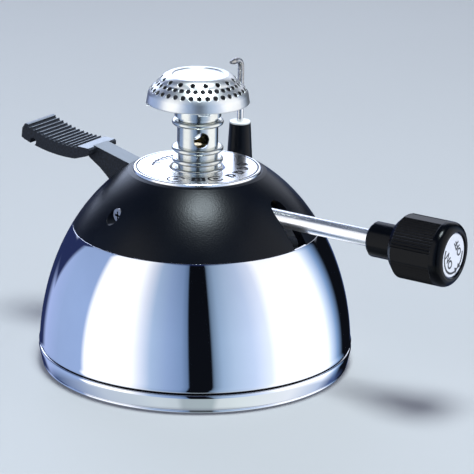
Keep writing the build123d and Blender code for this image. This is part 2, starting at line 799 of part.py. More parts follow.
# ---------------------------------------------------------------- burner tube and head
def bead(z):
    """Half-round section of one grip ring; call it in a BuildSketch."""
    with Locations((BEAD_CENTRE_R, z)):
        Circle(BEAD_R)


with BuildPart() as burner_collar:
    with BuildSketch(Plane.XZ):
        ring_section(MIX_R + 0.02, TUBE_R, COLLAR_BOTTOM, COLLAR_TOP)
        for z in COLLAR_BEADS:
            ring_section(TUBE_R - 0.3, BEAD_CENTRE_R, z - BEAD_R, z + BEAD_R)
            bead(z)
    revolve(axis=Axis.Z)
save(burner_collar, "burner_collar")

NECK_Z = SLEEVE_BEADS[1] + BEAD_R + 0.1
TUBE_COLLAR_Z = 74.2
PAN_SOCKET_Z = 76.65
TUBE_END = 79.6
with BuildPart() as mixing_tube:
    with BuildSketch(Plane.XZ):
        ring_section(MIX_BORE_R, MIX_R, MIX_BOTTOM, TUBE_END)
        ring_section(MIX_R - 0.3, TUBE_R + 0.05, NECK_Z, TUBE_COLLAR_Z)
        ring_section(MIX_R - 0.3, 6.7, TUBE_COLLAR_Z, PAN_SOCKET_Z)
    revolve(axis=Axis.Z)
    for turn in (0, 180):
        with BuildSketch(radial_plane(TUBE_HOLE_AZ + turn, 0, AIR_HOLE_Z - 0.25)):
            Circle(AIR_HOLE_R)
        extrude(amount=8, mode=Mode.SUBTRACT)
save(mixing_tube, "mixing_tube")

with BuildPart() as air_sleeve:
    with BuildSketch(Plane.XZ):
        ring_section(
            MIX_R + RUNNING_GAP, TUBE_R, SLEEVE_BEADS[0] - BEAD_R, SLEEVE_BEADS[1] + BEAD_R
        )
        for z in SLEEVE_BEADS:
            ring_section(TUBE_R - 0.3, BEAD_CENTRE_R, z - BEAD_R, z + BEAD_R)
            bead(z)
    revolve(axis=Axis.Z)
    for turn in (0, 180):
        with BuildSketch(radial_plane(AIR_HOLE_AZ + turn, 0, AIR_HOLE_Z)):
            Circle(AIR_HOLE_R)
        extrude(amount=8, mode=Mode.SUBTRACT)
save(air_sleeve, "air_sleeve")

with BuildPart() as head_pan:
    with BuildSketch(Plane.XZ):
        with BuildLine():
            Polyline(
                (MIX_R + 0.03, PAN_SOCKET_Z + 0.03),
                (TUBE_R, PAN_SOCKET_Z + 0.03),
                (TUBE_R, 77.5),
                (HEAD_R - 2.3, HEAD_RIM_Z + 0.05),
                (HEAD_R - 0.75, HEAD_RIM_Z + 0.05),
                (HEAD_R - 0.75, HEAD_RIM_Z + 0.55),
                (HEAD_R - 2.5, HEAD_RIM_Z + 0.55),
                (TUBE_R - 0.1, 78.2),
                (MIX_R + 0.03, 78.2),
                close=True,
            )
        make_face()
    revolve(axis=Axis.Z)
save(head_pan, "head_pan")

with BuildPart() as head_gauze:
    with BuildSketch(Plane.XY.offset(TUBE_END + 0.05)):
        Circle(13.2)
    extrude(amount=0.3)
save(head_gauze, "head_gauze")

# Perforated cap: plain skirt, rolled shoulder, cone and brow up to the pressed disc
SKIRT_TOP = (14.4, 80.9)
CONE_FOOT = (13.0, 83.0)
CONE_TOP = (11.2, 84.6)
BROW_R = 8.8
HEAD_DISC_R = 7.4
DISC_DIP = 0.25
inside_top = HEAD_TOP - DISC_DIP - HEAD_WALL
with BuildPart() as head_cap:
    with BuildSketch(Plane.XZ):
        with BuildLine():
            skirt = Polyline(
                (HEAD_R - 0.05, HEAD_RIM_Z), (HEAD_R, HEAD_RIM_Z + 0.3), SKIRT_TOP
            )
            shoulder = ThreePointArc(skirt @ 1, (13.8, 82.1), CONE_FOOT)
            cone = Line(shoulder @ 1, CONE_TOP)
            brow = ThreePointArc(cone @ 1, (10.2, 85.8), (BROW_R, HEAD_TOP))
            lid = Polyline(
                brow @ 1,
                (HEAD_DISC_R + 0.1, HEAD_TOP),
                (HEAD_DISC_R - 0.1, HEAD_TOP - DISC_DIP),
                (0, HEAD_TOP - DISC_DIP),
                (0, inside_top),
                (BROW_R - 0.3, inside_top),
            )
            inner_brow = ThreePointArc(
                lid @ 1, (9.75, 85.35), (CONE_TOP[0] - 0.4, CONE_TOP[1] - 0.45)
            )
            inner_cone = Line(inner_brow @ 1, (CONE_FOOT[0] - 0.4, CONE_FOOT[1] - 0.45))
            inner_shoulder = ThreePointArc(
                inner_cone @ 1, (13.25, 81.8), (SKIRT_TOP[0] - HEAD_WALL, SKIRT_TOP[1])
            )
            Polyline(
                inner_shoulder @ 1,
                (HEAD_R - HEAD_WALL, HEAD_RIM_Z),
                (HEAD_R - 0.05, HEAD_RIM_Z),
            )
        make_face()
    revolve(axis=Axis.Z)
    # Flame ports: radius and height of the row, tilt of its axis, count, first azimuth
    for row_r, row_z, tilt, count, first in (
        (13.45, 82.52, 40, 36, -54.5),
        (11.8, 84.07, 48, 36, -59.5),
        (10.5, 85.5, 55, 18, -64.5),
    ):
        for port in range(count):
            azimuth = math.radians(first + port * 360 / count)
            up = math.radians(tilt)
            across = Vector(math.cos(azimuth), math.sin(azimuth), 0)
            outwards = across * math.cos(up) + Vector(0, 0, math.sin(up))
            seat = across * row_r + Vector(0, 0, row_z) - outwards * 1.6
            with BuildSketch(Plane(origin=seat, z_dir=outwards)):
                Circle(PORT_R)
            extrude(amount=3.0, mode=Mode.SUBTRACT)
    # Crimped tabs under the rim
    for tab in range(4):
        with BuildSketch(radial_plane(TAB_AZ + 90 * tab, HEAD_R - 2.2, HEAD_RIM_Z - 0.22)):
            Rectangle(0.54, 3.4)
        extrude(amount=2.2)
save(head_cap, "head_cap")

# ---------------------------------------------------------------- electrode
HOOK_RISE = 87.2
with BuildPart() as ceramic_insulator:
    with BuildSketch(Plane.XY.offset(50.0)):
        with Locations((0, ELECTRODE_Y)):
            Circle(INSULATOR_R)
    extrude(amount=TOWER_TOP - 50.0)
    with BuildSketch(Plane.XY.offset(TOWER_TOP)):
        with Locations((0, ELECTRODE_Y)):
            Circle(TOWER_TIP_R - 0.05)
    extrude(amount=0.55)
    fillet(ceramic_insulator.edges().group_by(Axis.Z)[-1], 0.2)
    with BuildSketch(Plane.XY.offset(49.0)):
        with Locations((0, ELECTRODE_Y)):
            Circle(ELECTRODE_R + 0.03)
    extrude(amount=20, mode=Mode.SUBTRACT)
save(ceramic_insulator, "ceramic_insulator")

TIP_R = 0.85
BEND_R = 2.2
hook_z = HOOK_RISE - TIP_R
hook_end_y = ELECTRODE_Y - BEND_R - 1.7
with BuildPart() as electrode_rod:
    with BuildSketch(Plane.XY.offset(47.0)):
        with Locations((0, ELECTRODE_Y)):
            Circle(ELECTRODE_R)
    extrude(amount=83.6 - 47.0)
    with BuildLine() as hook:
        rise = Line((0, ELECTRODE_Y, 83.0), (0, ELECTRODE_Y, hook_z - BEND_R))
        bend = TangentArc(
            rise @ 1, (0, ELECTRODE_Y - BEND_R, hook_z), tangent=(0, 0, 1)
        )
        Line(bend @ 1, (0, hook_end_y, hook_z))
    with BuildSketch(Plane(origin=(0, ELECTRODE_Y, 83.0))):
        Circle(TIP_R)
    sweep(path=hook.line)
    with BuildSketch(Plane(origin=(0, hook_end_y, hook_z), z_dir=(0, -1, 0))):
        Circle(TIP_R)
    extrude(amount=1.5, taper=14)
save(electrode_rod, "electrode_rod")

LEAD_R = 0.8
LEAD_EXIT_Y = 4.6
LEAD_Z = 30.0
with BuildPart() as lead_ferrule:
    with BuildSketch(Plane.XY.offset(44.5)):
        with Locations((0, ELECTRODE_Y)):
            Circle(1.35)
    extrude(amount=5.3)
    with BuildSketch(Plane.XY.offset(46.98)):
        with Locations((0, ELECTRODE_Y)):
            Circle(ELECTRODE_R + 0.02)
    extrude(amount=3.0, mode=Mode.SUBTRACT)
    with BuildSketch(Plane.XY.offset(44.5)):
        with Locations((0, ELECTRODE_Y)):
            Circle(LEAD_R + 0.02)
    extrude(amount=1.52, mode=Mode.SUBTRACT)
save(lead_ferrule, "lead_ferrule")

lead_points = [
    (PIEZO_X, LEAD_EXIT_Y, LEAD_Z),
    (PIEZO_X, LEAD_EXIT_Y + 8.0, LEAD_Z),
    (PIEZO_X + 9.0, ELECTRODE_Y - 2.0, LEAD_Z),
    (-5.0, ELECTRODE_Y + 2.0, LEAD_Z + 2.0),
    (0, ELECTRODE_Y, LEAD_Z + 8.5),
    (0, ELECTRODE_Y, 46.0),
]
lead_bends = cord_radii(lead_points)
with BuildPart() as ignition_lead:
    with BuildLine() as lead_route:
        FilletPolyline(*lead_points, radius=lead_bends)
    with BuildSketch(Plane(origin=lead_points[0], z_dir=(0, 1, 0))):
        Circle(LEAD_R)
    sweep(path=lead_route.line)
save(ignition_lead, "ignition_lead")

# ---------------------------------------------------------------- chassis and igniter
EAR_IN = ARM_WIDTH / 2 + 0.2
EAR_THICK = 1.2
EAR_HALF = 2.4
LUG_HALF = 3.0
LUG_TOP = 51.5
chassis_top = CHASSIS_Z + CHASSIS_THICK
with BuildPart() as chassis_plate:
    with BuildSketch(Plane.XY.offset(CHASSIS_Z)):
        Circle(14.0)
        with Locations((-15.0, 0)):
            Rectangle(32.0, 15.0)
        for side in (-1, 1):
            with Locations(Location((0, 0, 0), (0, 0, side * CAP_SCREW_AZ))):
                with Locations((LUG_REACH / 2 + LUG_THICK / 2, 0)):
                    Rectangle(LUG_REACH + LUG_THICK, 2 * LUG_HALF)
        Circle(VALVE_R + 0.03, mode=Mode.SUBTRACT)
        with Locations((PIEZO_X, 0)):
            Rectangle(8.1, 9.1, mode=Mode.SUBTRACT)
    extrude(amount=CHASSIS_THICK)
    # Upright lugs that take the cap screws
    for side in (-1, 1):
        lug_mid = (CHASSIS_Z + LUG_TOP) / 2
        with BuildSketch(radial_plane(side * CAP_SCREW_AZ, LUG_REACH, lug_mid)):
            Rectangle(LUG_TOP - CHASSIS_Z, 2 * LUG_HALF)
        extrude(amount=LUG_THICK)
        with BuildSketch(radial_plane(side * CAP_SCREW_AZ, LUG_REACH, CAP_SCREW_Z)):
            Circle(BOTTOM_SCREW_R)
        extrude(amount=LUG_THICK, mode=Mode.SUBTRACT)
    # Ears that carry the lever's pivot pin
    for side in (-1, 1):
        with BuildSketch(Plane.XZ.offset(side * EAR_IN)):
            with Locations((PIVOT_X, (chassis_top + PIVOT_Z) / 2)):
                Rectangle(2 * EAR_HALF, PIVOT_Z - chassis_top)
            with Locations((PIVOT_X, PIVOT_Z)):
                Circle(EAR_HALF)
                Circle(PIVOT_PIN_R + 0.01, mode=Mode.SUBTRACT)
        extrude(amount=side * EAR_THICK)
save(chassis_plate, "chassis_plate")

PIN_HALF = EAR_IN + EAR_THICK + 0.5
with BuildPart() as lever_pin:
    with BuildSketch(Plane.XZ.offset(-PIN_HALF)):
        with Locations((PIVOT_X, PIVOT_Z)):
            Circle(PIVOT_PIN_R)
    extrude(amount=2 * PIN_HALF)
    chamfer(lever_pin.edges().filter_by(GeomType.CIRCLE), 0.2)
save(lever_pin, "lever_pin")

HOUSING_BOTTOM = TANK_ROOF + 0.3
HOUSING_TOP = 42.5
PLUNGER_R = 2.8
PLUNGER_FOOT = 38.0
PIEZO_TRAVEL_ROOM = 32.0
with BuildPart() as piezo_housing:
    with BuildSketch(Plane.XY.offset(HOUSING_BOTTOM)):
        with Locations((PIEZO_X, 0)):
            Rectangle(8.0, 9.0)
    extrude(amount=HOUSING_TOP - HOUSING_BOTTOM)
    fillet(piezo_housing.edges().filter_by(Axis.Z), 1.2)
    with BuildSketch(Plane.XY.offset(CHASSIS_Z - 0.8)):
        with Locations((PIEZO_X, 0)):
            Rectangle(10.5, 11.5)
    extrude(amount=0.75)
    with BuildSketch(Plane.XY.offset(HOUSING_BOTTOM + 1.5)):
        with Locations((PIEZO_X, 0)):
            Circle(PLUNGER_R + RUNNING_GAP)
    extrude(amount=20, mode=Mode.SUBTRACT)
    with BuildSketch(Plane(origin=(PIEZO_X, LEAD_EXIT_Y + 1, LEAD_Z), z_dir=(0, -1, 0))):
        Circle(LEAD_R + 0.02)
    extrude(amount=3.0, mode=Mode.SUBTRACT)
save(piezo_housing, "piezo_housing")

with BuildPart() as piezo_crystal:
    with BuildSketch(Plane.XY.offset(HOUSING_BOTTOM + 1.6)):
        with Locations((PIEZO_X, 0)):
            Circle(2.5)
    extrude(amount=PIEZO_TRAVEL_ROOM - 0.1 - HOUSING_BOTTOM - 1.6)
save(piezo_crystal, "piezo_crystal")

PIEZO_WIRE_R = 0.25
PIEZO_COILS = 4
piezo_rise = PLUNGER_FOOT - 0.05 - PIEZO_TRAVEL_ROOM - 2 * PIEZO_WIRE_R
with BuildPart() as piezo_spring:
    with BuildLine() as coil:
        Helix(
            piezo_rise / PIEZO_COILS,
            piezo_rise,
            2.2,
            center=(PIEZO_X, 0, PIEZO_TRAVEL_ROOM + PIEZO_WIRE_R),
        )
    with BuildSketch(Plane(origin=coil.line @ 0, z_dir=coil.line % 0)):
        Circle(PIEZO_WIRE_R)
    sweep(path=coil.line, is_frenet=True)
save(piezo_spring, "piezo_spring")

with BuildPart() as piezo_plunger:
    with BuildSketch(Plane.XY.offset(PLUNGER_FOOT)):
        with Locations((PIEZO_X, 0)):
            Circle(PLUNGER_R)
    extrude(amount=PLUNGER_TOP - PLUNGER_FOOT)
    chamfer(piezo_plunger.edges().group_by(Axis.Z)[-1], 0.4)
save(piezo_plunger, "piezo_plunger")

# ---------------------------------------------------------------- ignition lever
slope = math.tan(math.radians(ARM_SLOPE))
HUB_R = 3.2
ARM_INNER = 21.5
ARM_OUTER = 34.6
PAD_IN = 33.8
PAD_OUT = 57.6
RIDGES_FROM = 38.4
RIDGES_TO = 56.4
GROOVES = 12
PAD_IN_Z = 59.85
PAD_OUT_Z = 63.75


def arm_top(reach):
    """Height of the arm's top face at this distance from the burner's axis."""
    return ARM_TOP_AT_AXIS + reach * slope


with BuildPart() as ignition_lever:
    # Arm: deep web outside the cap, nose over the plunger, hub on the pin
    with BuildSketch(Plane.XZ):
        with BuildLine():
            Polyline(
                (-ARM_INNER, arm_top(ARM_INNER)),
                (-ARM_OUTER, arm_top(ARM_OUTER)),
                (-ARM_OUTER - 2.0, 56.3),
                (-32.4, 53.6),
                (-29.0, 50.6),
                (PIEZO_X - 1.5, NOSE_Z),
                (PIEZO_X + 1.5, NOSE_Z),
                (PIVOT_X - 2.0, PIVOT_Z - 2.4),
                (PIVOT_X + 0.5, PIVOT_Z + 3.1),
                (-ARM_INNER, 53.6),
                close=True,
            )
        make_face()
        with Locations((PIVOT_X, PIVOT_Z)):
            Circle(HUB_R)
            Circle(PIVOT_PIN_R + RUNNING_GAP, mode=Mode.SUBTRACT)
        with Locations((PIEZO_X, NOSE_Z)):
            Circle(NOSE_R)
    extrude(amount=ARM_WIDTH / 2, both=True)
    # Pad: dished top between two lands, bellied underneath
    with BuildSketch(Plane.XZ):
        with BuildLine():
            land_in = Line((-PAD_IN, PAD_IN_Z - 0.5), (-PAD_IN - 0.4, PAD_IN_Z))
            Line(land_in @ 1, (-RIDGES_FROM + 0.4, PAD_IN_Z + 0.1))
            dish = ThreePointArc(
                (-RIDGES_FROM + 0.4, PAD_IN_Z + 0.1),
                (-47.0, 60.7),
                (-RIDGES_TO, PAD_OUT_Z - 0.2),
            )
            crest = Polyline(
                dish @ 1,
                (-PAD_OUT + 0.7, PAD_OUT_Z),
                (-PAD_OUT, PAD_OUT_Z - 0.1),
                (-PAD_OUT - 1.0, PAD_OUT_Z - 1.6),
                (-PAD_OUT - 1.3, 59.4),
                (-PAD_OUT - 0.4, 58.9),
            )
            belly = ThreePointArc(crest @ 1, (-47.0, 56.2), (-39.0, 56.0))
            Polyline(belly @ 1, (-PAD_IN - 1.0, 57.4), (-PAD_IN, 58.4), land_in @ 0)
        make_face()
    extrude(amount=PAD_WIDTH / 2, both=True)
    # Grooves between the ridges, square to the dished face
    chord = dish.length / GROOVES
    for groove in range(GROOVES):
        at = (groove + 0.5) / GROOVES
        spot = dish @ at
        with BuildSketch(Plane.XZ):
            with Locations((spot.X, spot.Y)):
                Circle(0.42 * chord)
        extrude(amount=PAD_WIDTH, both=True, mode=Mode.SUBTRACT)
    # Lanyard notch near the outer end
    with BuildSketch(Plane.XZ):
        with Locations((-54.6, 58.6)):
            Circle(1.1)
    extrude(amount=PAD_WIDTH, both=True, mode=Mode.SUBTRACT)
save(ignition_lever, "ignition_lever")
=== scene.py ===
import json
import math

import bmesh
import bpy
from mathutils import Matrix, Vector


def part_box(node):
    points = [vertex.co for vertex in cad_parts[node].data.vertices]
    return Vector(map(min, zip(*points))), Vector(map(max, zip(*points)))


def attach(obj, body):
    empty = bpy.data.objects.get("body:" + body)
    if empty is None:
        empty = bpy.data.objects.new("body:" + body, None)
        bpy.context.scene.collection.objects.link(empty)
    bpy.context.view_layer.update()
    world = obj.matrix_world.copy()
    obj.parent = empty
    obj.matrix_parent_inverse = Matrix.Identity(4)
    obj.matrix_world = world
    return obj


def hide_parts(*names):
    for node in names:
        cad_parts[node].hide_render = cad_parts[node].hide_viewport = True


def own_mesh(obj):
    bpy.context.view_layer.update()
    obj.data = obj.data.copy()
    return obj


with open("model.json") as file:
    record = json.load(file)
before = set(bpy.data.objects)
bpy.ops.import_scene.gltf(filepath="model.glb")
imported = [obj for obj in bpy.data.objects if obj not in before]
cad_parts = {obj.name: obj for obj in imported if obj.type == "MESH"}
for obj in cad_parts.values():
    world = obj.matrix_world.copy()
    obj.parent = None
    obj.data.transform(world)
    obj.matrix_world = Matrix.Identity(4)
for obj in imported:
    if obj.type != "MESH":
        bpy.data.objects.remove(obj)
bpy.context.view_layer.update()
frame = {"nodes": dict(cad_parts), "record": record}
nodes = frame["nodes"]

MM = 0.001


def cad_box(node):
    """Lowest and highest corner of a CAD node at rest."""
    low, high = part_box(node)
    return Vector(low), Vector(high)


# ------------------------------------------------------------------ node materials
class Finish:
    """One Principled material built out of procedural nodes."""

    def __init__(self, name):
        self.mat = bpy.data.materials.new(name)
        self.mat.use_nodes = True
        self.tree = self.mat.node_tree
        self.tree.nodes.clear()
        self.out = self.add("ShaderNodeOutputMaterial")
        self.bsdf = self.add("ShaderNodeBsdfPrincipled")
        self.link(self.bsdf.outputs[0], self.out.inputs[0])
        self.coord = self.add("ShaderNodeTexCoord").outputs["Object"]

    def add(self, kind):
        return self.tree.nodes.new(kind)

    def link(self, a, b):
        self.tree.links.new(a, b)

    def mapping(self, scale, rotation=(0, 0, 0), location=(0, 0, 0)):
        node = self.add("ShaderNodeMapping")
        node.inputs["Scale"].default_value = scale
        node.inputs["Rotation"].default_value = rotation
        node.inputs["Location"].default_value = location
        self.link(self.coord, node.inputs["Vector"])
        return node.outputs[0]

    def noise(self, scale, detail=3.0, rough=0.5, vector=None, distortion=0.0):
        node = self.add("ShaderNodeTexNoise")
        node.inputs["Scale"].default_value = scale
        node.inputs["Detail"].default_value = detail
        node.inputs["Roughness"].default_value = rough
        node.inputs["Distortion"].default_value = distortion
        self.link(vector or self.coord, node.inputs["Vector"])
        return node.outputs["Fac"]

    def voronoi(self, scale, feature="F1", vector=None):
        node = self.add("ShaderNodeTexVoronoi")
        node.feature = feature
        node.inputs["Scale"].default_value = scale
        self.link(vector or self.coord, node.inputs["Vector"])
        return node.outputs["Distance"]

    def ramp(self, value, low, high, out_low, out_high):
        node = self.add("ShaderNodeMapRange")
        node.inputs["From Min"].default_value = low
        node.inputs["From Max"].default_value = high
        node.inputs["To Min"].default_value = out_low
        node.inputs["To Max"].default_value = out_high
        self.link(value, node.inputs["Value"])
        return node.outputs[0]

    def rise(self, value, low=0.3, high=0.7):
        """From 0 to 1 between low and high; the defaults take in most of a noise."""
        return self.ramp(value, low, high, 0.0, 1.0)

    def fall(self, value, low, high):
        return self.ramp(value, low, high, 1.0, 0.0)

    def blend(self, factor, first, second):
        node = self.add("ShaderNodeMix")
        node.data_type = "RGBA"
        self.link(factor, node.inputs[0])
        for socket, value in ((node.inputs[6], first), (node.inputs[7], second)):
            if isinstance(value, tuple):
                socket.default_value = (*value, 1.0)
            else:
                self.link(value, socket)
        return node.outputs[2]

    def mix_vector(self, factor, first, second):
        node = self.add("ShaderNodeMix")
        node.data_type = "VECTOR"
        self.link(factor, node.inputs[0])
        self.link(first, node.inputs[4])
        self.link(second, node.inputs[5])
        return node.outputs[1]

    def bump(self, height, strength, distance, normal=None):
        node = self.add("ShaderNodeBump")
        node.inputs["Strength"].default_value = strength
        node.inputs["Distance"].default_value = distance
        self.link(height, node.inputs["Height"])
        if normal is not None:
            self.link(normal, node.inputs["Normal"])
        return node.outputs[0]

    def openness(self, reach):
        """1 on open faces, falling towards 0 in corners and holes narrower than reach."""
        node = self.add("ShaderNodeAmbientOcclusion")
        node.samples = 8
        node.only_local = True
        node.inputs["Distance"].default_value = reach
        return node.outputs["AO"]

    def edges(self, radius):
        """Normal with the sharp edges rounded."""
        node = self.add("ShaderNodeBevel")
        node.samples = 4
        node.inputs["Radius"].default_value = radius
        return node.outputs[0]

    def calc(self, operation, *values):
        node = self.add("ShaderNodeMath")
        node.operation = operation
        for socket, value in zip(node.inputs, values):
            if isinstance(value, (int, float)):
                socket.default_value = value
            else:
                self.link(value, socket)
        return node.outputs[0]

    def scale(self, colour, factor):
        """Colour times a factor, which may take it past white."""
        node = self.add("ShaderNodeVectorMath")
        node.operation = "SCALE"
        self.link(colour, node.inputs[0])
        if isinstance(factor, (int, float)):
            node.inputs["Scale"].default_value = factor
        else:
            self.link(factor, node.inputs["Scale"])
        return node.outputs[0]

    def set(self, **values):
        for key, value in values.items():
            socket = self.bsdf.inputs[key.replace("_", " ")]
            if isinstance(value, (int, float)):
                socket.default_value = value
            elif isinstance(value, tuple):
                socket.default_value = (*value, 1.0)
            else:
                self.link(value, socket)
        return self


GRAIN_DEPTH = 0.02 * MM
PORE_DEPTH = 0.06 * MM
# Black painted into small holes and corners as their shade
PAINTED_NOOK_SHADE = (0.004, 0.004, 0.005)


def metal(
    name, light, dark, rough, spread, grain, grain_scale, bump, edge=0.0, patch=60.0, shade_reach=0.0
):
    """Metal with cloudy tone, uneven roughness and a fine directional grain.

    edge is the rounding of sharp edges, and shade_reach the width of the small holes and corners
    whose tone is painted black as their shade, both in millimetres. patch is how close the clouds of
    tone lie.
    """
    f = Finish(name)
    cloud = f.noise(patch, 4.0, 0.6)
    fine = f.noise(1.0, 3.0, 0.6, f.mapping(grain_scale))
    tone = f.blend(f.rise(cloud), dark, light)
    speck = f.ramp(fine, 0.25, 0.75, -grain, grain)
    normal = f.edges(edge * MM) if edge else None
    # Painted shade: the tone turns black in holes and corners narrower than the reach
    if shade_reach:
        tone = f.blend(f.rise(f.openness(shade_reach * MM), 0.58, 0.92), PAINTED_NOOK_SHADE, tone)
    f.set(Base_Color=tone, Metallic=1.0)
    f.set(Roughness=f.calc("ADD", f.ramp(cloud, 0.3, 0.7, rough + spread, rough), speck))
    f.set(Normal=f.bump(fine, bump, GRAIN_DEPTH, normal))
    return f.mat


def plastic(name, base, lift, rough, spread, pore_scale, pore, edge=0.0, coat=0.0, shine=0.5):
    """Moulded plastic with a fine spark-eroded texture; edge is in millimetres."""
    f = Finish(name)
    cloud = f.noise(90.0, 4.0, 0.6)
    grains = f.noise(pore_scale, 4.0, 0.62)
    height = f.calc("ADD", grains, f.voronoi(pore_scale * 0.8))
    tone = f.blend(f.rise(grains, 0.3, 0.75), base, lift)
    tone = f.blend(f.ramp(cloud, 0.35, 0.75, 0.0, 0.35), tone, base)
    normal = f.edges(edge * MM) if edge else None
    f.set(Base_Color=tone, Roughness=f.ramp(cloud, 0.3, 0.7, rough, rough + spread))
    f.set(Normal=f.bump(height, pore, PORE_DEPTH, normal), Coat_Weight=coat)
    f.set(Specular_IOR_Level=shine)
    return f.mat


chrome = metal(
    "chrome_plate", (0.93, 0.94, 0.96), (0.86, 0.87, 0.9), rough=0.02, spread=0.025,
    grain=0.006, grain_scale=(500, 500, 500), bump=0.012, patch=35.0,
)
plate_metal = metal(
    "polished_plate", (0.96, 0.95, 0.94), (0.88, 0.88, 0.88), rough=0.2, spread=0.06,
    grain=0.03, grain_scale=(2600, 260, 900), bump=0.1, edge=0.05, shade_reach=0.7,
)
stem_metal = metal(
    "ground_stem", (0.95, 0.94, 0.93), (0.86, 0.86, 0.86), rough=0.24, spread=0.05,
    grain=0.03, grain_scale=(160, 3000, 3000), bump=0.08, edge=0.1,
)
tube_metal = metal(
    "turned_tube", (0.74, 0.75, 0.7), (0.56, 0.57, 0.54), rough=0.17, spread=0.06,
    grain=0.03, grain_scale=(250, 250, 5200), bump=0.12, edge=0.06,
)
head_metal = metal(
    "pressed_head", (0.88, 0.88, 0.85), (0.7, 0.7, 0.68), rough=0.3, spread=0.08,
    grain=0.03, grain_scale=(1800, 1800, 2600), bump=0.14, edge=0.3, patch=120.0, shade_reach=1.4,
)
screw_metal = metal(
    "screw_steel", (0.8, 0.8, 0.8), (0.58, 0.58, 0.59), rough=0.22, spread=0.1,
    grain=0.04, grain_scale=(2200, 2200, 2200), bump=0.12, edge=0.05, patch=300.0,
)
# Screw steel painted darker as the shade of the cap's recesses the screws sit in
shaded_screw_metal = metal(
    "screw_steel_painted_shade", (0.42, 0.42, 0.44), (0.22, 0.22, 0.23), rough=0.3, spread=0.1,
    grain=0.04, grain_scale=(2200, 2200, 2200), bump=0.12, edge=0.05, patch=300.0, shade_reach=0.8,
)
wire_metal = metal(
    "spring_wire", (0.66, 0.66, 0.67), (0.48, 0.48, 0.5), rough=0.24, spread=0.1,
    grain=0.04, grain_scale=(2400, 2400, 2400), bump=0.15, patch=300.0,
)
# Gauze under the head's ports, painted near black as the shade inside the head
gauze_metal = metal(
    "gauze_painted_shade", (0.11, 0.1, 0.1), (0.05, 0.045, 0.045), rough=0.5, spread=0.1,
    grain=0.04, grain_scale=(2400, 2400, 2400), bump=0.2, patch=300.0,
)
sheet_metal = metal(
    "chassis_sheet", (0.6, 0.61, 0.6), (0.42, 0.43, 0.44), rough=0.34, spread=0.12,
    grain=0.04, grain_scale=(700, 2600, 900), bump=0.2, edge=0.08, patch=140.0,
)
brass = metal(
    "turned_brass", (0.8, 0.62, 0.3), (0.6, 0.43, 0.18), rough=0.2, spread=0.1,
    grain=0.04, grain_scale=(900, 900, 4200), bump=0.16, edge=0.06, patch=220.0,
)
dial_metal = metal(
    "satin_dial", (0.94, 0.94, 0.95), (0.84, 0.84, 0.86), rough=0.3, spread=0.06,
    grain=0.03, grain_scale=(900, 3600, 900), bump=0.14, edge=0.06, patch=260.0,
)

BURNT_FROM = 75 * MM
BURNT_BY = 78 * MM
WIRE_LIGHT = (0.82, 0.81, 0.79)
WIRE_DARK = (0.62, 0.6, 0.58)
WIRE_BURNT = (0.12, 0.11, 0.1)


def burnt_wire():
    """Steel wire, browned and dulled towards the tip by the flame."""
    f = Finish("electrode_wire")
    place = f.add("ShaderNodeSeparateXYZ")
    f.link(f.coord, place.inputs[0])
    cloud = f.noise(420.0, 4.0, 0.6)
    fine = f.noise(1.0, 3.0, 0.6, f.mapping((1500, 1500, 2600)))
    burnt = f.ramp(place.outputs[2], BURNT_FROM, BURNT_BY, 0.0, 0.65)
    burnt = f.calc("MULTIPLY", burnt, f.ramp(cloud, 0.35, 0.6, 0.45, 1.0))
    clean = f.blend(f.rise(cloud), WIRE_LIGHT, WIRE_DARK)
    f.set(Base_Color=f.blend(burnt, clean, WIRE_BURNT), Metallic=1.0)
    f.set(Roughness=f.ramp(burnt, 0.0, 1.0, 0.22, 0.32))
    f.set(Normal=f.bump(fine, 0.25, GRAIN_DEPTH, f.edges(0.04 * MM)))
    return f.mat


electrode_metal = burnt_wire()

LEVER_EDGE = 0.18 * MM
SIDE_DARK, SIDE_LIGHT = (0.0015, 0.0025, 0.005), (0.011, 0.015, 0.028)
# Lighter colours painted on the lever's faces that look up, as a painted highlight
SHEEN_TOP_DARK, SHEEN_TOP_LIGHT = (0.024, 0.03, 0.045), (0.05, 0.06, 0.085)


def worn_lever_painted_sheen():
    """Black moulding: coarse grain on its sides, rubbed smooth on faces that look up, which are
    painted lighter as a highlight; grooves keep the dark colour as painted shade.
    """
    f = Finish("lever_black")
    facing = f.add("ShaderNodeSeparateXYZ")
    f.link(f.add("ShaderNodeNewGeometry").outputs["Normal"], facing.inputs[0])
    upward = f.rise(facing.outputs[2], 0.6, 0.8)
    # Painted highlight on crests that look up, which get the light top colour; painted shade in the
    # grooves between them, which keep the dark side colour
    crest = f.rise(f.openness(1.2 * MM), 0.78, 0.93)
    top = f.calc("MULTIPLY", upward, crest)
    cloud = f.noise(160.0, 4.0, 0.6)
    grains = f.noise(1500.0, 4.0, 0.65)
    side_tone = f.blend(f.rise(grains, 0.35, 0.7), SIDE_DARK, SIDE_LIGHT)
    top_sheen_tone = f.blend(f.rise(cloud), SHEEN_TOP_DARK, SHEEN_TOP_LIGHT)
    f.set(Base_Color=f.blend(top, side_tone, top_sheen_tone))
    f.set(Roughness=f.ramp(top, 0.0, 1.0, 0.75, 0.3), Specular_IOR_Level=0.5)
    grain_height = f.calc("ADD", grains, f.voronoi(1300.0))
    grained = f.bump(grain_height, 0.9, 0.1 * MM, f.edges(LEVER_EDGE))
    rubbed = f.bump(grains, 0.06, 0.04 * MM, f.edges(LEVER_EDGE))
    f.set(Normal=f.mix_vector(top, grained, rubbed))
    return f.mat


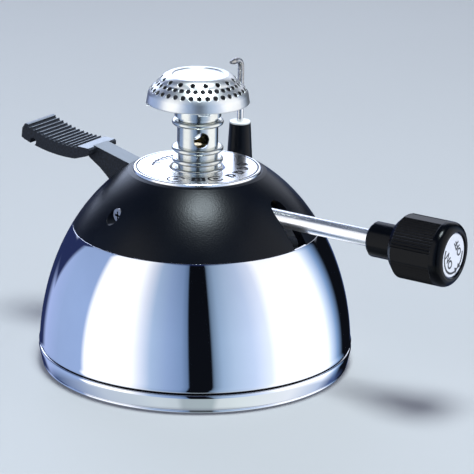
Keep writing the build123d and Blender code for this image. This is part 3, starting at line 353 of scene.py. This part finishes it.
lever_black = worn_lever_painted_sheen()
cap_black = plastic(
    "cap_black", (0.0012, 0.0018, 0.0036), (0.0026, 0.0036, 0.0066), rough=0.27, spread=0.06,
    pore_scale=2600.0, pore=0.2, edge=0.12, shine=0.16,
)
knob_black = plastic(
    "knob_black", (0.0008, 0.0011, 0.002), (0.0018, 0.0023, 0.0035), rough=0.17, spread=0.05,
    pore_scale=2500.0, pore=0.08, edge=0.3, shine=0.13,
)
rubber_black = plastic(
    "foot_rubber", (0.012, 0.012, 0.012), (0.03, 0.03, 0.03), rough=0.7, spread=0.12,
    pore_scale=1500.0, pore=0.5, edge=0.1,
)
igniter_black = plastic(
    "igniter_case", (0.03, 0.03, 0.035), (0.06, 0.06, 0.065), rough=0.35, spread=0.1,
    pore_scale=2000.0, pore=0.25, edge=0.1,
)
crystal_buff = plastic(
    "piezo_ceramic", (0.45, 0.4, 0.31), (0.6, 0.55, 0.45), rough=0.45, spread=0.1,
    pore_scale=2600.0, pore=0.3, edge=0.1,
)
tank_resin = plastic(
    "tank_resin", (0.55, 0.58, 0.6), (0.66, 0.69, 0.71), rough=0.3, spread=0.1,
    pore_scale=700.0, pore=0.1, edge=0.15,
)
lead_red = plastic(
    "lead_jacket", (0.42, 0.03, 0.025), (0.55, 0.06, 0.05), rough=0.45, spread=0.1,
    pore_scale=1600.0, pore=0.25,
)
felt_cream = plastic(
    "wick_felt", (0.55, 0.5, 0.4), (0.8, 0.76, 0.66), rough=0.85, spread=0.1,
    pore_scale=4200.0, pore=1.0,
)
ceramic_white = plastic(
    "glazed_ceramic", (0.74, 0.73, 0.7), (0.86, 0.85, 0.82), rough=0.16, spread=0.08,
    pore_scale=1400.0, pore=0.08, edge=0.12, coat=0.6,
)
print_dark = plastic(
    "dial_print", (0.02, 0.02, 0.024), (0.05, 0.05, 0.055), rough=0.4, spread=0.1,
    pore_scale=3000.0, pore=0.2,
)
plate_print = plastic(
    "plate_print", (0.006, 0.006, 0.008), (0.02, 0.02, 0.022), rough=0.5, spread=0.1,
    pore_scale=3000.0, pore=0.2, shine=0.1,
)
plate_pale = plastic(
    "plate_pale_print", (0.1, 0.1, 0.13), (0.2, 0.2, 0.24), rough=0.5, spread=0.1,
    pore_scale=3000.0, pore=0.2, shine=0.1,
)
gap_shadow = plastic(
    "gap_shadow", (0.002, 0.002, 0.003), (0.005, 0.005, 0.006), rough=0.6, spread=0.1,
    pore_scale=2000.0, pore=0.2, shine=0.1,
)

FINISHES = {
    chrome: ["base_ring", "lower_shell"],
    sheet_metal: ["bottom_plate", "chassis_plate"],
    rubber_black: ["rubber_feet", "refill_seal", "valve_gasket", "stem_seal"],
    screw_metal: ["bottom_screws", "knob_set_screw", "lever_pin"],
    shaded_screw_metal: ["cap_screws"],
    cap_black: ["upper_cap"],
    plate_metal: ["top_plate"],
    tank_resin: ["tank_lower", "tank_upper"],
    brass: [
        "refill_valve_body", "refill_stem", "valve_body", "valve_nut", "gland_nut",
        "valve_needle", "jet_holder", "gas_jet", "lead_ferrule",
    ],
    wire_metal: ["refill_spring", "piezo_spring"],
    gauze_metal: ["head_gauze"],
    felt_cream: ["flow_filter", "wick"],
    stem_metal: ["control_stem"],
    knob_black: ["knob_grip"],
    dial_metal: ["knob_dial"],
    tube_metal: ["burner_collar", "mixing_tube", "air_sleeve"],
    head_metal: ["head_pan", "head_cap"],
    ceramic_white: ["ceramic_insulator"],
    electrode_metal: ["electrode_rod"],
    lead_red: ["ignition_lead"],
    igniter_black: ["piezo_housing", "piezo_plunger"],
    crystal_buff: ["piezo_crystal"],
    lever_black: ["ignition_lever"],
}
for material, names in FINISHES.items():
    for name in names:
        slots = nodes[name].data.materials
        slots.clear()
        slots.append(material)


# ------------------------------------------------------------------ turned shells
LATHE_SIDES = 384
SHARP_FROM = math.radians(24)


def lathe(name, profile, material, dark=None, dark_runs=()):
    """Closed ring turned from a closed profile of (r, z) in millimetres.

    The strips after the profile points in dark_runs take the dark material.
    """
    count = len(profile)
    verts = []
    for i in range(LATHE_SIDES):
        turn = 2 * math.pi * i / LATHE_SIDES
        for r, z in profile:
            verts.append((r * MM * math.cos(turn), r * MM * math.sin(turn), z * MM))
    faces = []
    paint = []
    for i in range(LATHE_SIDES):
        here, there = i * count, (i + 1) % LATHE_SIDES * count
        for j in range(count):
            k = (j + 1) % count
            faces.append((here + j, there + j, there + k, here + k))
            paint.append(1 if j in dark_runs else 0)
    mesh = bpy.data.meshes.new(name)
    mesh.from_pydata(verts, [], faces)
    mesh.materials.append(material)
    if dark:
        mesh.materials.append(dark)
    mesh.polygons.foreach_set("material_index", paint)
    mesh.polygons.foreach_set("use_smooth", [True] * len(faces))
    mesh.set_sharp_from_angle(angle=SHARP_FROM)
    ob = bpy.data.objects.new(name, mesh)
    bpy.context.scene.collection.objects.link(ob)
    return ob


def rounded(start, corner, end, steps=5):
    """Points of a small curved corner from start to end."""
    points = []
    for i in range(steps + 1):
        t = i / steps
        points.append(tuple(
            (1 - t) ** 2 * a + 2 * t * (1 - t) * b + t * t * c
            for a, b, c in zip(start, corner, end)
        ))
    return points


# The dome's outline is half an ellipse, in millimetres
DOME_R = 45.8
DOME_MID_Z = 3.6
DOME_RISE = 60.4
shell_low, shell_high = (corner.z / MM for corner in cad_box("lower_shell"))
ring_low, ring_high = (corner.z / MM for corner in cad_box("base_ring"))


def dome_point(z, inset=0.0):
    """Point (r, z) of the dome's outline, moved inwards along its normal."""
    r = DOME_R * math.sqrt(1 - ((z - DOME_MID_Z) / DOME_RISE) ** 2)
    normal = Vector((r / DOME_R**2, (z - DOME_MID_Z) / DOME_RISE**2)).normalized()
    return (r - inset * normal.x, z - inset * normal.y)


# Lower shell, in millimetres
SHELL_WALL = 0.8
DOME_STEPS = 40
RIM_ROUND = 0.08
LIP_R = 45.92
LIP_IN_R = 44.72
LIP_MEETS_DOME = 7.6
TOE_ROUND = 0.25
LIP_FACE_FROM = 0.35
LIP_SHOULDER = (45.87, 7.1)


def shell_profile():
    """Rolled lip at the foot, then the dome up to the cap, and back down inside."""
    span = shell_high - RIM_ROUND - LIP_MEETS_DOME
    heights = [LIP_MEETS_DOME + span * i / DOME_STEPS for i in range(DOME_STEPS + 1)]
    outside = [dome_point(z) for z in heights]
    rim = dome_point(shell_high)
    top = rounded(outside[-1], rim, (rim[0] - RIM_ROUND, shell_high), 3)
    top.append((dome_point(shell_high, SHELL_WALL)[0], shell_high))
    inside = [dome_point(z, SHELL_WALL) for z in reversed(heights)]
    foot = [(LIP_IN_R, shell_low)]
    toe = rounded(
        (LIP_R - TOE_ROUND, shell_low), (LIP_R, shell_low), (LIP_R, shell_low + TOE_ROUND)
    )
    lip = rounded((LIP_R, shell_low + LIP_FACE_FROM), LIP_SHOULDER, outside[0], 8)
    return outside[:-1] + top + inside[1:] + foot + toe + lip[:-1]


# Base ring, in millimetres; the groove's heights are above the ring's foot
RING_R = 45.95
RING_TOP = 6.05
RING_SHOULDER = 0.95
FACE_FOOT_R = 45.2
FOOT_R = 45.0
FOOT_ROUND_IN, FOOT_ROUND_UP = 0.3, 0.25
GROOVE_R = 44.65
GROOVE_MOUTH = 0.5
GROOVE_FLOOR = (0.62, 0.82)
GROOVE_LIP = 0.92
GAP_R = 45.15
GAP_ROUND = 0.1
GAP_UNDER_SHELL = 0.02
SPIGOT_R = 44.6
RING_IN_R = 43.4
LEDGE_R = 40.0
LEDGE_TOP = 1.5


def ring_profile():
    """Foot groove, leaning face, rounded top edge and the dark gap under the shell."""
    foot = rounded(
        (FOOT_R - FOOT_ROUND_IN, ring_low), (FOOT_R, ring_low), (FOOT_R, ring_low + FOOT_ROUND_UP)
    )
    groove = [(FOOT_R, ring_low + GROOVE_MOUTH)]
    groove += [(GROOVE_R, ring_low + height) for height in GROOVE_FLOOR]
    lip_z = ring_low + GROOVE_LIP
    face = rounded(
        (FACE_FOOT_R - 0.1, lip_z), (FACE_FOOT_R, lip_z + 0.02), (FACE_FOOT_R + 0.02, lip_z + 0.18), 3
    )
    edge = rounded(
        (RING_R - 0.01, RING_TOP - RING_SHOULDER), (RING_R, RING_TOP), (GAP_R + GAP_ROUND, RING_TOP), 8
    )
    gap_top = shell_low - GAP_UNDER_SHELL
    gap = [(GAP_R, RING_TOP), (GAP_R, gap_top)]
    inside = [
        (SPIGOT_R, gap_top), (SPIGOT_R, ring_high), (RING_IN_R, ring_high), (RING_IN_R, LEDGE_TOP),
        (LEDGE_R, LEDGE_TOP), (LEDGE_R, ring_low),
    ]
    profile = foot + groove + face + edge + gap + inside
    gap_run = profile.index(gap[0])
    return profile, (gap_run - 1, gap_run)


shell = lathe("shell_skin", shell_profile(), chrome)
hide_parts("lower_shell")
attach(shell, "burner")
profile, gap_runs = ring_profile()
ring = lathe("ring_skin", profile, chrome, gap_shadow, gap_runs)
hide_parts("base_ring")
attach(ring, "burner")


# ------------------------------------------------------------------ spring copies
def working_spring(node):
    """Copy of a CAD spring with a mesh of its own, hung on the burner in place of the hidden node."""
    spring = bpy.data.objects.new(f"{node}_coil", nodes[node].data.copy())
    bpy.context.scene.collection.objects.link(spring)
    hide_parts(node)
    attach(spring, "burner")
    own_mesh(spring)


for joint in frame["record"]["behaviour"]["joints"]:
    for bent in joint.get("deforming_nodes", ()):
        working_spring(
            bent["node"]
        )


# ------------------------------------------------------------------ printed marks
PRINT_THICK = 0.03 * MM
PRINT_SUNK = 0.005 * MM


def print_mesh(name, outlines, place, material, body):
    """Thin closed prints from flat outlines; place turns (u, v, height) into a point."""
    verts, faces = [], []
    for outline in outlines:
        first, count = len(verts), len(outline)
        for height in (0.0, PRINT_THICK):
            verts.extend(place(u, v, height) for u, v in outline)
        faces.append([first + i for i in reversed(range(count))])
        faces.append([first + count + i for i in range(count)])
        for i in range(count):
            k = (i + 1) % count
            faces.append((first + i, first + k, first + count + k, first + count + i))
    mesh = bpy.data.meshes.new(name)
    mesh.from_pydata(verts, [], faces)
    mesh.materials.append(material)
    ob = bpy.data.objects.new(name, mesh)
    bpy.context.scene.collection.objects.link(ob)
    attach(ob, body)
    return ob


def bar(u, v, length, width, turn):
    """Bar centred at (u, v), with its length turned by degrees."""
    c, s = math.cos(math.radians(turn)), math.sin(math.radians(turn))
    corners = ((-0.5, -0.5), (0.5, -0.5), (0.5, 0.5), (-0.5, 0.5))
    return [
        (u + x * length * c - y * width * s, v + x * length * s + y * width * c)
        for x, y in corners
    ]


def sweep(u, v, radius, width, start, end, steps=24):
    """Curved stroke about (u, v), as a run of short quads."""
    quads = []
    for i in range(steps):
        a0 = math.radians(start + (end - start) * i / steps)
        a1 = math.radians(start + (end - start) * (i + 1) / steps)
        low, high = radius - width / 2, radius + width / 2
        quads.append([
            (u + low * math.cos(a0), v + low * math.sin(a0)),
            (u + high * math.cos(a0), v + high * math.sin(a0)),
            (u + high * math.cos(a1), v + high * math.sin(a1)),
            (u + low * math.cos(a1), v + low * math.sin(a1)),
        ])
    return quads


plate_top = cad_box("top_plate")[1].z


def on_plate(u, v, height):
    return (u, v, plate_top + height - PRINT_SUNK)


def at_plate(azimuth, r):
    """Flat place on the plate, from degrees round it and millimetres out."""
    a = math.radians(azimuth)
    return r * MM * math.cos(a), r * MM * math.sin(a)


def stroke(azimuth, r, length, width, turn):
    """Straight mark on the plate, in millimetres and degrees."""
    return bar(*at_plate(azimuth, r), length * MM, width * MM, turn)


MARK_R = 13.2
dark_marks = []
# Ring symbols with a dot: degrees round the plate, millimetres out and radius
for azimuth, r, radius in ((-81, 14.4, 2.35), (-33, 13.4, 2.0)):
    u, v = at_plate(azimuth, r)
    dark_marks += sweep(u, v, radius * MM, 0.55 * MM, azimuth + 120, azimuth + 430)
    dark_marks += sweep(u, v, 0.5 * MM, 0.6 * MM, 0, 360, 12)
# Block of three bars between two cross bars, at the front
BLOCK_AT = -54.5
for offset in (-6.3, 0.0, 6.3):
    azimuth = BLOCK_AT + offset
    dark_marks.append(stroke(azimuth, MARK_R, 3.0, 1.0, azimuth))
for r in (11.9, 14.5):
    dark_marks.append(stroke(BLOCK_AT, r, 0.8, 3.8, BLOCK_AT))
# Groups of upright and slanting strokes round the right side
for azimuth in (-9, 9, 28, 46):
    dark_marks.append(stroke(azimuth - 3.5, MARK_R, 3.3, 0.95, azimuth - 3.5))
    dark_marks.append(stroke(azimuth + 2.5, 12.5, 1.9, 0.8, azimuth + 50))
    dark_marks.append(stroke(azimuth + 2.5, 13.9, 1.9, 0.8, azimuth - 40))
print_mesh("plate_marks", dark_marks, on_plate, plate_print, "burner")

# Row of pale strokes on the left side
pale_marks = []
for azimuth in range(150, 214, 8):
    pale_marks.append(stroke(azimuth, 12.4, 2.4, 0.55, azimuth))
    pale_marks.append(stroke(azimuth + 3, 12.9, 0.6, 1.2, azimuth))
print_mesh("plate_pale_marks", pale_marks, on_plate, plate_pale, "burner")

# Dial: ON and OFF with an arrow to each, on the knob's face
dial_low, dial_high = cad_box("knob_dial")
dial_x = dial_high.x
knob_z = (dial_low.z + dial_high.z) / 2
READS = 120.0
WORD_WEIGHT = 0.11 * MM


def on_dial(u, v, height):
    return (dial_x + height - PRINT_SUNK, u, knob_z + v)


def dial_word(name, text, u, v, size):
    """Word that reads along the direction READS in the face, as a thin print."""
    curve = bpy.data.curves.new(name, "FONT")
    curve.body = text
    curve.size = size
    curve.align_x = "CENTER"
    curve.align_y = "CENTER"
    curve.extrude = PRINT_THICK / 2
    curve.offset = WORD_WEIGHT
    maker = bpy.data.objects.new(name, curve)
    bpy.context.scene.collection.objects.link(maker)
    mesh = bpy.data.meshes.new_from_object(maker)
    bpy.data.objects.remove(maker)
    along = Vector((0, math.cos(math.radians(READS)), math.sin(math.radians(READS))))
    outwards = Vector((1, 0, 0))
    up = outwards.cross(along)
    centre = Vector((dial_x, u, knob_z + v))
    axes = Matrix((along, up, outwards)).transposed().to_4x4()
    mesh.transform(Matrix.Translation(centre) @ axes)
    mesh.materials.clear()
    mesh.materials.append(print_dark)
    ob = bpy.data.objects.new(name, mesh)
    bpy.context.scene.collection.objects.link(ob)
    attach(ob, "knob")


dial_word("dial_on", "ON", -2.3 * MM, -1.0 * MM, 3.2 * MM)
dial_word("dial_off", "OFF", 2.45 * MM, 1.6 * MM, 2.95 * MM)
ARROW_R = 5.0 * MM
ARROW_WIDTH = 0.6 * MM
# Degrees by which an arrow's tip runs on past its stroke
ARROW_TIP = 18
arrows = []
for start, end in ((150, 283), (0, -45)):
    arrows += sweep(0, 0, ARROW_R, ARROW_WIDTH, start, end)
    tip = math.radians(end + math.copysign(ARROW_TIP, end - start))
    base = math.radians(end)
    arrows.append([
        (r * math.cos(angle), r * math.sin(angle))
        for r, angle in ((ARROW_R, tip), (ARROW_R - 1.15 * MM, base), (ARROW_R + 0.85 * MM, base))
    ])
print_mesh("dial_arrows", arrows, on_dial, print_dark, "knob")


# ------------------------------------------------------------------ stage
VIEW_AZ = math.radians(-55.93)
BLACK = (0.004, 0.005, 0.008)
NAVY = (0.02, 0.03, 0.10)
WHITE = (1.35, 1.38, 1.45)
# Studio walls round the burner: degrees right of the camera, and the glow there
WALL_GLOW = (
    (-180, NAVY), (-150, NAVY), (-141, (0.4, 0.5, 0.85)), (-118, (0.33, 0.45, 0.74)),
    (-90, (0.34, 0.47, 0.78)), (-85, WHITE), (-50, WHITE), (-41, (0.86, 0.92, 1.08)),
    (-32, (0.42, 0.56, 0.8)), (-20, (0.3, 0.42, 0.68)), (-10, (0.22, 0.33, 0.56)),
    (-5.6, (0.13, 0.21, 0.37)), (-4.7, BLACK), (11.5, BLACK), (13, (0.16, 0.24, 0.36)),
    (19, (0.33, 0.46, 0.66)), (28, (0.46, 0.6, 0.82)), (42, (0.6, 0.73, 0.98)),
    (55, (0.88, 0.97, 1.18)), (63, WHITE), (107, WHITE), (115, (0.72, 0.86, 1.1)),
    (124, (0.22, 0.36, 0.62)), (133, BLACK), (158, BLACK), (167, (0.08, 0.13, 0.3)),
    (174, (0.08, 0.13, 0.3)), (180, NAVY),
)
# The table's edge, seen only by faces that lean downwards
TABLE_GLOW = (
    (-180, NAVY), (-135, (0.08, 0.13, 0.27)), (-105, (0.28, 0.36, 0.55)),
    (-75, (0.52, 0.6, 0.72)), (-30, (0.62, 0.7, 0.76)), (-14, (0.58, 0.66, 0.71)),
    (-9, (0.4, 0.47, 0.51)), (14, (0.4, 0.48, 0.51)), (19, (0.66, 0.73, 0.76)),
    (34, (0.72, 0.8, 0.82)), (80, (0.85, 0.9, 0.98)), (112, (0.5, 0.6, 0.8)),
    (130, (0.06, 0.1, 0.25)), (180, NAVY),
)
TABLE_TOP = (0.22, 0.25, 0.31)
SCREEN_LEFT = (2.3, 2.65, 3.5)
SCREEN_RIGHT = (0.95, 1.02, 1.2)
SKY_GLOW = (0.03, 0.04, 0.07)
# Degrees above the horizon between which one glow gives way to the next
TABLE_TOP_ENDS = (-50, -43)
TABLE_ENDS = (-30, -25)
WALLS_DIM = (5, 45)
SCREEN_STARTS = (5, 9)
SCREEN_ENDS = (34, 42)
SKY_STARTS = (56, 64)
# The panels' upper edge, which falls away on the far left
EDGE_HEIGHT = 46
EDGE_LEFT = (-9, 20)
EDGE_SOFT = 0.05
PANEL_LEAN = math.radians(3.5)
PANEL_SPREAD = 0.08


def sines(degrees):
    return [math.sin(math.radians(angle)) for angle in degrees]


def ring_of_glow(f, around, glow_stops):
    """Colour by direction round the set, from stops in degrees."""
    glow = f.add("ShaderNodeValToRGB")
    stops = glow.color_ramp.elements
    while len(stops) > 1:
        stops.remove(stops[-1])
    for i, (azimuth, colour) in enumerate(glow_stops):
        place = (azimuth + 180) / 360
        stop = stops[0] if i == 0 else stops.new(place)
        stop.position = place
        stop.color = (*[c / WHITE[2] for c in colour], 1)
    f.link(f.rise(around, -math.pi, math.pi), glow.inputs[0])
    return glow.outputs[0]


def upper_edge(f, around):
    """Sine of the height of the panels' upper edge, by direction round the set."""
    left_low, left_high = sines(EDGE_LEFT)
    (top,) = sines([EDGE_HEIGHT])
    slant = f.ramp(around, math.radians(-140), math.radians(-112), left_low, left_high)
    step = f.ramp(around, math.radians(-112), math.radians(-104), 0.0, top - left_high)
    return f.calc("ADD", slant, step)


def studio_walls():
    """Glow of the studio's walls: a ring of soft panels, open above and below."""
    f = Finish("studio_glow")
    f.tree.nodes.remove(f.bsdf)
    turned = f.add("ShaderNodeVectorRotate")
    turned.rotation_type = "Z_AXIS"
    turned.inputs["Angle"].default_value = -VIEW_AZ
    f.link(f.coord, turned.inputs["Vector"])
    unit = f.add("ShaderNodeVectorMath")
    unit.operation = "NORMALIZE"
    f.link(turned.outputs[0], unit.inputs[0])
    parts = f.add("ShaderNodeSeparateXYZ")
    f.link(unit.outputs[0], parts.inputs[0])
    towards, rightwards, height = parts.outputs
    around = f.calc("ARCTAN2", rightwards, towards)
    # The panels lean a little, and spread as they rise
    spread = f.calc("MULTIPLY_ADD", height, PANEL_SPREAD, 1.0)
    lean = f.calc("MULTIPLY", height, PANEL_LEAN)
    leaning = f.calc("ADD", f.calc("MULTIPLY", around, spread), lean)
    # They dim as they rise, and end at their upper edge
    dim = f.ramp(height, *sines(WALLS_DIM), WHITE[2], 0.78 * WHITE[2])
    walls = f.scale(ring_of_glow(f, leaning, WALL_GLOW), dim)
    over = f.rise(f.calc("SUBTRACT", height, upper_edge(f, around)), 0.0, EDGE_SOFT)
    walls = f.blend(over, walls, NAVY)
    # The table's edge lies under them, and its top under that
    table = f.scale(ring_of_glow(f, around, TABLE_GLOW), WHITE[2])
    table = f.blend(f.fall(height, *sines(TABLE_TOP_ENDS)), table, TABLE_TOP)
    walls = f.blend(f.rise(height, *sines(TABLE_ENDS)), table, walls)
    # A screen behind the burner, low over the table, much brighter on the left
    behind = f.rise(f.calc("ABSOLUTE", around), math.radians(134), math.radians(150))
    low = f.rise(height, *sines(SCREEN_STARTS))
    high = f.fall(height, *sines(SCREEN_ENDS))
    screen = f.calc("MULTIPLY", behind, f.calc("MULTIPLY", low, high))
    glow = f.blend(f.rise(rightwards, -0.02, 0.05), SCREEN_LEFT, SCREEN_RIGHT)
    colour = f.blend(screen, walls, glow)
    # A dim sky over all of it
    colour = f.blend(f.rise(height, *sines(SKY_STARTS)), colour, SKY_GLOW)
    light = f.add("ShaderNodeEmission")
    f.link(colour, light.inputs[0])
    f.link(light.outputs[0], f.out.inputs[0])
    f.mat.cycles.emission_sampling = "NONE"
    return f.mat


STUDIO_R = 6.0
STUDIO_RINGS = 24
STUDIO_SIDES = 48


def studio():
    """Large ball round the whole set; the camera looks through it."""
    mesh = bpy.data.meshes.new("studio")
    shape = bmesh.new()
    bmesh.ops.create_uvsphere(
        shape, u_segments=STUDIO_SIDES, v_segments=STUDIO_RINGS, radius=STUDIO_R
    )
    shape.to_mesh(mesh)
    shape.free()
    mesh.materials.append(studio_walls())
    ob = bpy.data.objects.new("studio", mesh)
    bpy.context.scene.collection.objects.link(ob)
    ob.visible_camera = False


studio()

FLOOR_HALF = 4.0
FLOOR_DARK, FLOOR_LIGHT = (0.43, 0.42, 0.42), (0.45, 0.44, 0.44)


def pale_floor():
    """Plain, matt floor with the faintest of clouds in it."""
    f = Finish("pale_floor")
    tone = f.noise(3.0, 4.0, 0.5)
    grain = f.noise(900.0, 3.0, 0.6)
    f.set(Base_Color=f.blend(f.rise(tone), FLOOR_DARK, FLOOR_LIGHT), Roughness=0.75)
    f.set(Normal=f.bump(grain, 0.03, 0.1 * MM))
    mesh = bpy.data.meshes.new("floor")
    corners = ((-1, -1), (1, -1), (1, 1), (-1, 1))
    mesh.from_pydata([(x * FLOOR_HALF, y * FLOOR_HALF, 0) for x, y in corners], [], [(0, 1, 2, 3)])
    mesh.materials.append(f.mat)
    ob = bpy.data.objects.new("floor", mesh)
    bpy.context.scene.collection.objects.link(ob)
    ob.visible_glossy = False


pale_floor()

# Pieces that shiny surfaces don't mirror
for name in ("knob_grip", "knob_dial", "control_stem", "knob_set_screw", "upper_cap"):
    nodes[name].visible_glossy = False
for name in ("dial_on", "dial_off", "dial_arrows"):
    bpy.data.objects[name].visible_glossy = False

world = bpy.data.worlds.new("studio")
bpy.context.scene.world = world
world.use_nodes = True
background = world.node_tree.nodes["Background"]
background.inputs["Color"].default_value = (0.72, 0.75, 0.82, 1)
background.inputs["Strength"].default_value = 1.0


def area_light(name, location, aim, size, power, colour):
    """Round soft light that faces aim."""
    data = bpy.data.lights.new(name, "AREA")
    data.shape = "DISK"
    data.size = size
    data.energy = power
    data.color = colour
    ob = bpy.data.objects.new(name, data)
    bpy.context.scene.collection.objects.link(ob)
    ob.location = location
    ob.rotation_mode = "QUATERNION"
    ob.rotation_quaternion = (Vector(aim) - Vector(location)).to_track_quat("-Z", "Y")
    return ob


overhead = area_light(
    "overhead", (0.16, -0.11, 1.1), aim=(0, 0, 0.04), size=0.4, power=16.0,
    colour=(0.82, 0.94, 1.0),
)
lever_light = area_light(
    "lever_light", (-0.36, 0.95, 0.68), aim=(-0.045, 0, 0.06), size=0.9, power=6.5,
    colour=(0.68, 0.82, 1.0),
)


def link_light(light, pieces, state):
    """Limit a light to some pieces, or keep it off them."""
    chosen = bpy.data.collections.new(f"{light.name}_link")
    for piece in pieces:
        chosen.objects.link(piece)
    for entry in chosen.collection_objects:
        entry.light_linking.link_state = state
    light.light_linking.receiver_collection = chosen


link_light(lever_light, [nodes["ignition_lever"]], "INCLUDE")
link_light(overhead, [shell, ring], "EXCLUDE")

# ------------------------------------------------------------------ camera
SENSOR_WIDTH = 36.0
IMAGE_WIDTH = 474.0
# A long lens, as a photographer of small products uses
FOCAL_LENGTH = 2500.0 / IMAGE_WIDTH * SENSOR_WIDTH
CAMERA_AT = Vector((0.3875, -0.5729, 0.2635))
CAMERA_LOOKS = Vector((-0.51909, 0.79636, -0.31041)).normalized()
CAMERA_ROLL = math.radians(0.98)

cam_data = bpy.data.cameras.new("camera")
cam_data.sensor_width = SENSOR_WIDTH
cam_data.lens = FOCAL_LENGTH
cam_data.clip_start = 0.05
cam_data.clip_end = 20.0
camera = bpy.data.objects.new("camera", cam_data)
bpy.context.scene.collection.objects.link(camera)
bpy.context.scene.camera = camera
level = CAMERA_LOOKS.cross(Vector((0, 0, 1))).normalized()
upright = level.cross(CAMERA_LOOKS)
side = level * math.cos(CAMERA_ROLL) + upright * math.sin(CAMERA_ROLL)
above = upright * math.cos(CAMERA_ROLL) - level * math.sin(CAMERA_ROLL)
axes = Matrix((side, above, -CAMERA_LOOKS)).transposed()
camera.matrix_world = Matrix.Translation(CAMERA_AT) @ axes.to_4x4()

bpy.context.scene.view_settings.view_transform = "Standard"
